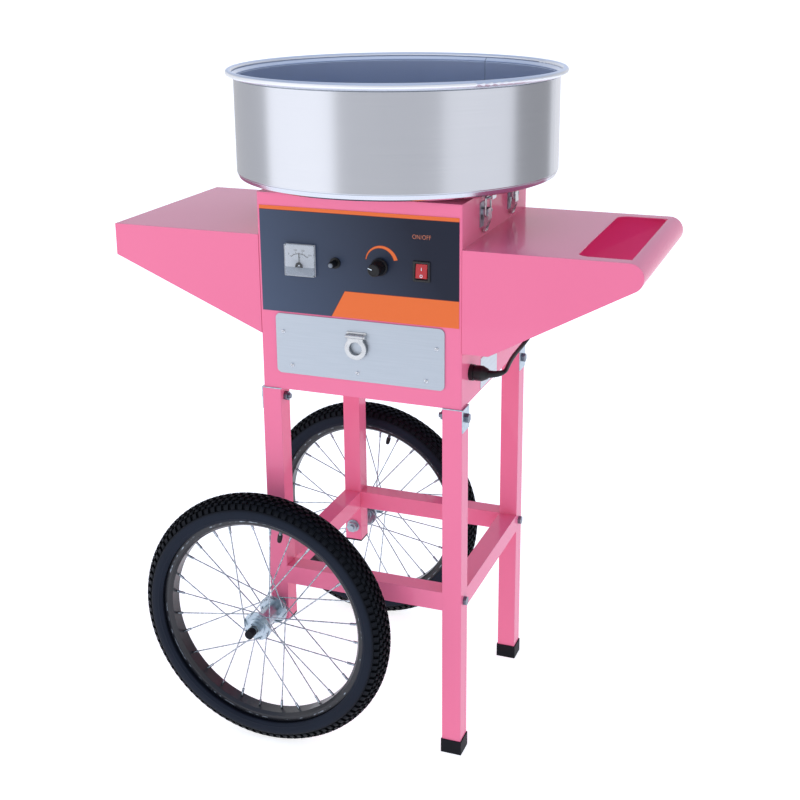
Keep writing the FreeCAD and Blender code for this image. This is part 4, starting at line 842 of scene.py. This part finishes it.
def fluted(name, profile, spot, axis, count, deep, low, high, steps_each=6):
    """A turned piece whose rows between two distances carry lengthwise flutes."""
    axis, aside, other = square_to(axis)
    steps = count * steps_each
    points = []
    for radius, along in profile:
        for step in range(steps):
            angle = 2 * math.pi * step / steps
            cut = deep * max(0, math.sin(count * angle)) ** 0.7 if low <= along <= high else 0
            reach = max(0, radius - cut)
            outward = math.cos(angle) * aside + math.sin(angle) * other
            points.append(spot + (reach * outward + along * axis) * MM)
    rows = len(profile)
    return shade(make_mesh(name, points, skin_faces(rows, steps) + end_faces(rows, steps)), 32)


fuse_spot = body_point(FUSE_X, -158.8, FUSE_Z)
fuse_profile = [
    (3.0, 0), (3.0, 9.3), (5.0, 9.4), (5.0, 10.4), (5.0, 11.0), (4.95, 20.6), (4.75, 22.4),
    (4.3, 23.6), (3.6, 23.9),
]
fuse_carrier = fluted("fuse_carrier_cap", fuse_profile, fuse_spot, (0, -1, 0), 18, 0.45, 10.9, 22.5)
dress(fuse_carrier, moulded_black, "fuse_carrier", "black_plastic", "fuse_cap")
fuse_tip_profile = [(0, 23.6), (3.4, 23.6), (3.5, 24.2), (3.2, 24.8), (2.2, 25.0), (0, 25.0)]
fuse_tip = lathe("fuse_tip", fuse_tip_profile, fuse_spot, (0, -1, 0), 32)
dress(fuse_tip, dark_bolt, "fuse_carrier", "chrome")


# ------------ heat knob
# A fluted, tapered phenolic knob on the dimmer's shaft, with a pale pointer line let into its skirt
# and face. The dimmer board hides behind the panel.

KNOB_X, KNOB_Z = 35.5, 775
knob_spot = body_point(KNOB_X, -151.6, KNOB_Z)
knob_profile = [
    (3.0, 0), (3.0, 16.0), (12.6, 16.0), (13.0, 16.4), (12.9, 18.2), (12.2, 19.4), (11.5, 20.0),
    (11.1, 22.0), (9.7, 36.0), (9.3, 38.4), (8.8, 39.4), (8.1, 39.9), (6.9, 40.0), (6.6, 39.6),
    (0.4, 39.5),
]
heat_knob = fluted("heat_knob", knob_profile, knob_spot, (0, -1, 0), 26, 0.6, 19.8, 38.6)
dress(heat_knob, moulded_black, "knob", "black_plastic", "control_knob")
pointer_white = grained("pointer_white", ("d5e2ea",), (0.3, 0.14), (700.0,))
POINTER = math.radians(160)
pointer_points = []
for radius, along in ((2.6, 39.56), (6.7, 39.66), (7.2, 40.04), (8.2, 39.98), (9.0, 39.3), (9.55, 38.0)):
    for side in (-0.6, 0.6):
        x = radius * math.cos(POINTER) - side * math.sin(POINTER)
        z = radius * math.sin(POINTER) + side * math.cos(POINTER)
        pointer_points.append(knob_spot + Vector((x, -along - 0.04, z)) * MM)
pointer_faces = [(2 * row, 2 * row + 1, 2 * row + 3, 2 * row + 2) for row in range(5)]
dress(make_mesh("knob_pointer", pointer_points, pointer_faces), pointer_white, "knob", "film")

board_green = Finish("board_green", "1d4a2c", 0.4)
board_tracks = board_green.noise(160.0, 1.0, (1, 1, 3)).over(0.55, 0.02)
board_green.tint(board_tracks, "173f26", "3c7a4a")
board_green.set("Roughness", 0.32 + 0.2 * board_tracks)
board_green.relief(board_tracks, 0.00004)
coat(board_green, "control_board")


# ------------ rocker switch
# A snap-in rocker switch: a glossy black bevelled frame round a red rocker marked with a bar and a
# ring. Its case and terminals sit behind the panel.

SWITCH_X, SWITCH_Z = 98.6, 773
frame_layers = [
    (0, -164.85), (0, -166.5), (0.5, -167.15), (1.2, -167.3), (2.6, -167.3), (3.3, -166.9),
    (4.0, -165.6), (4.0, -164.85),
]
bezel = stacked("bezel", (SWITCH_X, SWITCH_Z), 26, 30, 1.6, frame_layers, ring=True)
case_layers = [(0, -164.8), (0, -147), (1.5, -145.6)]
case = stacked("case", (SWITCH_X, SWITCH_Z), 21.4, 25.4, 0.8, case_layers)
tab_layers = [(0, -145.7), (0, -141.3), (0.3, -140.9)]
tabs = [
    stacked("tab", (SWITCH_X + x, SWITCH_Z + z), 4.8, 0.9, 0.2, tab_layers)
    for x in (-5, 5) for z in (-7, 7)
]
switch_gloss = grained("switch_gloss", ("0e0f12",), (0.14, 0.16), (300.0,))
switch_case = joined("switch_case", bezel, case, *tabs)
dress(switch_case, switch_gloss, "chassis", "black_plastic", "switch_housing")

# The rocker's faint red emission is a painted glow.
rocker_red = grained(
    "rocker_red", ("9c0d1c", "b3141f"), (0.2, 0.12), (120.0,), (0.00001, 0.0005),
    Emission_Color=rgba("c01018"), Emission_Strength=0.12, Coat_Weight=0.4, Coat_Roughness=0.08)
coat(rocker_red, "switch_rocker")


def laid_on(target, made, lift):
    """Presses a flat piece from the front onto a solid's face, point by point."""
    for vertex in made.data.vertices:
        start = Vector((vertex.co.x, -0.3, vertex.co.z))
        found, spot, _, _ = target.ray_cast(start, Vector((0, 1, 0)))
        if found:
            vertex.co.y = spot.y - lift * MM
    return made


def flat_ring(name, middle, wide, tall, line, steps=32):
    x, z = middle
    points, faces = [], []
    for step in range(steps):
        angle = 2 * math.pi * step / steps
        for grow in (0, line):
            points.append(body_point(
                x + (wide / 2 - grow) * math.cos(angle), -168, z + (tall / 2 - grow) * math.sin(angle)))
    for step in range(steps):
        after = (step + 1) % steps
        faces.append((2 * step, 2 * after, 2 * after + 1, 2 * step + 1))
    return make_mesh(name, points, faces)


bar_points = [
    body_point(SWITCH_X + x, -168, z) for z in (774.4, 775.8, 777.2, 778.6) for x in (-0.45, 0.45)
]
bar = make_mesh("bar", bar_points, [(0, 1, 3, 2), (2, 3, 5, 4), (4, 5, 7, 6)])
ring = flat_ring("ring", (SWITCH_X, 766.8), 4.2, 4.6, 0.75)
for mark in (bar, ring):
    laid_on(nodes["switch_rocker"], mark, 0.05)
dress(joined("rocker_marks", bar, ring), pointer_white, "rocker", "film")


# ------------ drawer
# A folded stainless tray behind a brushed 2 mm front plate, held by five cross-recess screws, on
# two folded runners inside the box.

drawer_steel = Finish("drawer_steel", "c4ccd2", 0.42, 0.85)
drawer_brush = drawer_steel.noise(500.0, 3.0, (0.03, 1, 1))
drawer_cloud = drawer_steel.noise(12.0, 3.0)
drawer_steel.tint(drawer_brush, "a8b0b8", "b8bfc6")
drawer_steel.set("Roughness", 0.34 + 0.10 * drawer_brush + 0.08 * drawer_cloud)
drawer_steel.relief(drawer_brush, 0.00001, edge=0.0005)
coat(drawer_steel, "drawer_front", "drawer_tray")

DRAWER_FACE = -166.0
DRAWER_SCREWS = ((-121, 663.6), (121, 660.8), (-108, 612), (-2.4, 611), (105, 611))
SHANK = [(0, 0), (2.0, 0), (2.0, 6.5), (0, 6.5)]
heads = []
for x, z in DRAWER_SCREWS:
    spot = body_point(x, DRAWER_FACE, z)
    heads += [screw_head("head", spot, 3.4, 1.7, 1.5), lathe("shank", SHANK, spot, (0, 1, 0), 16)]
dress(joined("drawer_heads", *heads), zero_screw, "drawer", "chrome", "drawer_screws")


# ------------ ring pull
# A stamped flat ring hangs on a pin between two curled ears of its base plate, which is riveted to
# the drawer's front.

pull_steel = grained(
    "pull_steel", ("a9abac", "dddedd"), (0.18, 0.2), (70.0, 3.0), (0.00001, 0.0008), metallic=1.0)
coat(pull_steel, "pull_base", "pull_ring")


# ------------ side shelves
# Two folded sheet shelves, one each side, screwed through the box. The right one ends in a rolled
# nose under a hand hole, and both wear the box's paint.

coat(pink_paint, "wing_left", "wing_right")


# ------------ motor and spinning head
# A round steel motor hangs from the lid on four studs. Its shaft carries a cast aluminium base, a
# slotted stainless heating band and a spun cap with the sugar funnel. Brushes feed the band.

motor_paint = grained(
    "motor_paint", ("33373d", "4b5057"), (0.32, 0.2), (120.0, 3.0), (0.00004, 0.0008), metallic=0.6)
coat(motor_paint, "motor")
coat(zinc, "motor_shaft")

brush_brown = grained(
    "brush_brown", ("4b3424", "765338"), (0.42, 0.2), (400.0, 2.0, (0.1, 0.1, 4)), (0.00003, 0.0005))
coat(brush_brown, "brush_block")

TURNING = 9000  # radians of the turning marks' wave in a metre
BAND_SLOTS, SLOT_SPAN = 144, (915.5, 937.5)  # how many, and their feet and tops in millimetres
head_alloy = Finish("head_alloy", "c6c9cc", 0.3, 1.0, Anisotropic=0.6)
head_x, head_y, _ = head_alloy.place()
head_radius = (head_x - MIDDLE * MM).hypot(head_y)
turned_line = (head_radius * TURNING).math("SINE")
head_cloud = head_alloy.noise(60.0, 3.0)
head_alloy.tint(head_cloud, "b3b7bb", "d8dadc")
head_alloy.set("Roughness", 0.22 + 0.16 * head_cloud)
head_alloy.relief(turned_line, 0.000006, edge=0.0006)
coat(head_alloy, "head_base", "head_cap")

band_steel = Finish("band_steel", "9c9fa3", 0.3, 1.0)
band_x, band_y, band_z = band_steel.place()
band_turn = band_y.bearing(band_x - MIDDLE * MM)
# The slots are painted near black: painted shade in place of the openings.
band_slot = abs((band_turn * (BAND_SLOTS / (2 * math.pi)) + 200) % 1 - 0.5).over(0.3, 0.05)
band_slot = band_slot * (band_z / MM).within(*SLOT_SPAN, 0.5)
band_steel.tint(band_slot, "a9acaf", "1c1a19")
band_steel.set("Roughness", 0.26 + 0.4 * band_slot)
band_steel.relief(1 - band_slot, 0.0003)
coat(band_steel, "head_band")


# ------------ bowl
# A deep bowl rolled and spun from 1.2 mm stainless sheet, brushed round its wall, seam welded up
# the back, with a rolled rim and four welded catches under its floor.

SEAM_TURN = math.radians(74.5)
SEAM_SPAN = (892, 1036)  # these and the next heights are in millimetres
HEM_FOOT, HEM_TOP, ROLL_FOOT = 891.4, 1029.6, 1032
WALL_RADIUS, FLOOR_RADIUS = 0.2429, 0.2325  # of the bowl's inside, in metres
WALL_FOOT, FLOOR_TOP = 890.5, 882.6
bowl_steel = Finish("bowl_steel", "cdd0d4", 0.26, 1.0, Anisotropic=0.92)
bowl_x, bowl_y, bowl_z = bowl_steel.place()
bowl_brush = bowl_steel.noise(700.0, 3.0, (0.012, 0.012, 1))
bowl_cloud = bowl_steel.noise(7.0, 3.0, (1, 1, 0.3))
bowl_across = bowl_x - MIDDLE * MM
bowl_turn = bowl_y.bearing(bowl_across)
bowl_high = bowl_z / MM
seam = 1 - abs(bowl_turn - SEAM_TURN).over(0.0032, 0.002)
seam = seam * bowl_high.within(*SEAM_SPAN, 1)
hem = bowl_high.within(HEM_TOP, HEM_TOP + 1, 0.5) + bowl_high.within(HEM_FOOT, HEM_FOOT + 1, 0.6)
bowl_wall = bowl_steel.mix(bowl_brush * 0.4 + bowl_cloud * 0.6, "c6cad1", "d6d9de")
bowl_round = bowl_across.hypot(bowl_y)
# Masks for the wall's inside, the floor's inside and the rolled rim. The inside gets a painted pale blue
# reflection and the rolled rim a painted highlight.
wall_inside = (1 - bowl_round.over(WALL_RADIUS, 0.0002)) * bowl_high.over(WALL_FOOT, 0.5)
floor_inside = (1 - bowl_round.over(FLOOR_RADIUS, 0.0005)) * bowl_high.over(FLOOR_TOP, 0.2)
inside = wall_inside + floor_inside - wall_inside * floor_inside
rolled = bowl_high.over(ROLL_FOOT, 1.5)
bowl_polish = 0.11 + 0.04 * bowl_brush + 0.03 * bowl_cloud + 0.12 * seam
bowl_steel.set("Roughness", bowl_polish + 0.26 * inside + 0.24 * rolled)
bowl_tone = bowl_steel.mix(inside * 0.7, bowl_wall, "cfdcf2")
bowl_tone = bowl_steel.mix(rolled, bowl_tone, "eef1f5")
# The seam's weld is darker in its own right; the darkening along the two hems is painted shade in their
# grooves.
bowl_steel.tint(seam * 0.6 + hem * 0.45, bowl_tone, "6d7887")
bowl_steel.relief(bowl_brush * 0.004 + hem * -1.0 + seam * 1.0, 0.0004)
coat(bowl_steel, "bowl", "bowl_catches")


# ------------ draw latches
# Four draw latches hold the bowl down: a bright folded lever on a base riveted to the box, and a
# bent wire bail that hooks over the catch.

latch_bright = grained(
    "latch_bright", ("a4a8ac", "e6e8ea"), (0.14, 0.2), (200.0, 3.0), (0.00003, 0.0005), metallic=1.0)
for corner in ("front_left", "rear_left", "front_right", "rear_right"):
    coat(latch_bright, f"latch_lever_{corner}", f"latch_bail_{corner}")


# ------------ mains cord, gland and plug
# A black round cord of 6.5 mm leaves a screwed nylon gland low on the body's right side, runs back
# along it and up over a hump to come forward again. The rest of its 1.385 m stands on the right
# shelf's ledge as a tied oval hank.

CORD_WIDE = 6.5
ROUTE = [
    (183, -123, 617), (188.8, -123, 617), (198.6, -117.4, 617), (204.2, -107.6, 617.1),
    (204.4, -95.8, 617.2), (202, -80, 617), (198.6, -57, 616.6), (195.8, -29, 616.6),
    (194.4, 4, 616.6), (194, 36, 617), (195.4, 64, 621.5), (199, 86, 629.5), (202.4, 101.5, 641),
    (204, 111.2, 656.2), (204, 112.8, 670.4), (202.6, 107, 683.2), (200, 95.6, 691.2),
    (197, 81.6, 692.4), (194.4, 68.4, 686.8), (192.4, 55.4, 677.8), (191.2, 42.6, 670),
    (190.7, 30.6, 665.2), (190.4, 19, 663), (190.2, 8, 662.4),
]
HANK_TURNS, FIRST_LANE, LANE_WIDE = 3, 190, 6.6
HANK_BEND = 19.5
HANK_NEAR, HANK_FAR = -79.25, 5.25  # where its two end bends have their centres, along Y
HANK_FOOT = 662.3
HANK_MIDDLE, HANK_TOP = HANK_FOOT + HANK_BEND, HANK_FOOT + 2 * HANK_BEND
OUTER_BEND = HANK_BEND / math.sin(math.radians(75))
RUN_INSET = 5.2  # how far inside the bends' centres each straight run's two points lie
RUN_NEAR, RUN_FAR = HANK_NEAR + RUN_INSET, HANK_FAR - RUN_INSET
BEND_ANGLES = [math.radians(angle) for angle in (-75, -45, -15, 15, 45, 75)]
BEND_DRIFT = 0.28  # how far each point of a bend lies beside the one before


def hank_bend(lane, centre, way):
    """One end bend's points: way 1 comes down round the far end, -1 goes up round the near one."""
    return [
        (
            lane - BEND_DRIFT * step,
            centre + way * OUTER_BEND * math.cos(angle),
            HANK_MIDDLE - way * OUTER_BEND * math.sin(angle),
        )
        for step, angle in enumerate(BEND_ANGLES)
    ]


hank = []
for turn in range(HANK_TURNS):
    lane = FIRST_LANE - LANE_WIDE * turn
    hank += [(lane + 0.1, RUN_FAR, HANK_FOOT), (lane - 1.5, RUN_NEAR, HANK_FOOT)]
    hank += hank_bend(lane - 1.7, HANK_NEAR, -1)
    hank += [(lane - 3.3, RUN_NEAR, HANK_TOP), (lane - 4.7, RUN_FAR, HANK_TOP)]
    hank += hank_bend(lane - 4.9, HANK_FAR, 1)
last_lane = FIRST_LANE - LANE_WIDE * HANK_TURNS
hank += [
    (last_lane + 0.2, RUN_FAR, HANK_FOOT), (last_lane, -20, HANK_FOOT), (last_lane, -60, HANK_FOOT),
    (last_lane + 0.6, -84, 663.5), (last_lane + 2.6, -95, 665.8), (last_lane + 3.5, -104, 667.0),
]

cord_line = bpy.data.curves.new("mains_cord", "CURVE")
cord_line.dimensions = "3D"
strand = cord_line.splines.new("NURBS")
strand.points.add(len(ROUTE) + len(hank) - 1)
for knot, point in zip(strand.points, ROUTE + hank):
    knot.co = (*body_point(*point), 1)
strand.order_u = 3
strand.use_endpoint_u = True
strand.resolution_u = 8
mains_cord = placed("mains_cord", cord_line)
bare = bpy.data.meshes.new_from_object(mains_cord)
cord_path = [vertex.co.copy() for vertex in bare.vertices]
cord_line.bevel_depth = CORD_WIDE / 2 * MM
cord_line.bevel_resolution = 5
cord_line.use_fill_caps = True

cord_sheath = grained(
    "cord_sheath", ("08090e",), (0.34, 0.16), (420.0, 3.0), (0.00006,), Specular_IOR_Level=0.16)
cord_line.materials.append(cord_sheath.material)


def tube_along(name, path, radii, sides=24):
    """A round tube through points, with a radius for each."""
    points = []
    aside = Vector((0, 0, 1))
    for number, (spot, radius) in enumerate(zip(path, radii)):
        onward = (path[min(number + 1, len(path) - 1)] - path[max(number - 1, 0)]).normalized()
        aside = (aside - aside.dot(onward) * onward).normalized()
        other = onward.cross(aside)
        for side in range(sides):
            angle = 2 * math.pi * side / sides
            points.append(spot + radius * (math.cos(angle) * aside + math.sin(angle) * other))
    rows = len(path)
    return shade(make_mesh(name, points, skin_faces(rows, sides) + end_faces(rows, sides)))


def bevelled(name, low, high, width, segments=3):
    """A block between two corners with every edge rounded."""
    bm = bmesh.new()
    bmesh.ops.create_cube(bm, size=1)
    for vertex in bm.verts:
        for axis in range(3):
            vertex.co[axis] = high[axis] if vertex.co[axis] > 0 else low[axis]
    bmesh.ops.bevel(bm, geom=bm.edges[:], offset=width, segments=segments, affect="EDGES", profile=0.5)
    mesh = bpy.data.meshes.new(name)
    bm.to_mesh(mesh)
    bm.free()
    return shade(placed(name, mesh), 50)


runs = [0.0]
for before, after in zip(cord_path, cord_path[1:]):
    runs.append(runs[-1] + (after - before).length)
BOOT_LONG = 26 * MM
boot_path = [spot for spot, run in zip(cord_path, runs) if run <= BOOT_LONG]
boot_radii = [
    (6.2 - 2.4 * run / BOOT_LONG - (0.45 if number % 2 else 0.0)) * MM
    for number, run in enumerate(runs[:len(boot_path)])
]
cord_boot = tube_along("cord_boot", boot_path, boot_radii)
dress(cord_boot, moulded_black, "chassis", "black_plastic")

plug_low, plug_high = body_point(166.3, -133.5, 659.0), body_point(187.7, -108, 676.6)
plug_block = bevelled("plug_block", plug_low, plug_high, 4.2 * MM, 4)
nose_path = [body_point(*spot) for spot in (
    (176.5, -110, 667.6), (175.6, -106, 667.4), (174.6, -103, 667.2), (173.7, -102.2, 667.0),
)]
plug_nose = tube_along("plug_nose", nose_path, [radius * MM for radius in (8, 6.8, 5.2, 4.6)])
mains_plug = joined("mains_plug", plug_block, plug_nose)
dress(mains_plug, moulded_black, "chassis", "black_plastic", "power_plug")

pin_nickel = grained("pin_nickel", ("cfc9bf",), (0.16, 0.16), (160.0, 3.0), metallic=1.0)
PIN_FOOT = -133
pin_blocks = [((x, -150.8, 668.0), (x + 1.6, PIN_FOOT, 673.8)) for x in (170.2, 182.2)]
pin_blocks.append(((174.0, -152.6, 661.8), (180.0, PIN_FOOT, 663.4)))
plug_pins = joined("plug_pins", *(
    bevelled("pin", body_point(*low), body_point(*high), 0.5 * MM, 2) for low, high in pin_blocks
))
dress(plug_pins, pin_nickel, "chassis", "chrome")

tie_nylon = grained("tie_nylon", ("15161a",), (0.3, 0.2), (700.0, 1.0, (1, 8, 1)), (0.00008,))
cord_tie = stacked("cord_tie", (180.2, 681.8), 27.6, 46.0, 5.0, [
    (0, -40), (0, -35.4), (0.9, -35), (0.9, -40.4),
], ring=True)
dress(cord_tie, tie_nylon, "chassis", "black_plastic")

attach(mains_cord, "chassis")
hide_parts("power_cord", "cord_hank")
tuple(body_point(*ROUTE[0]))
coat(moulded_black, "cable_gland")
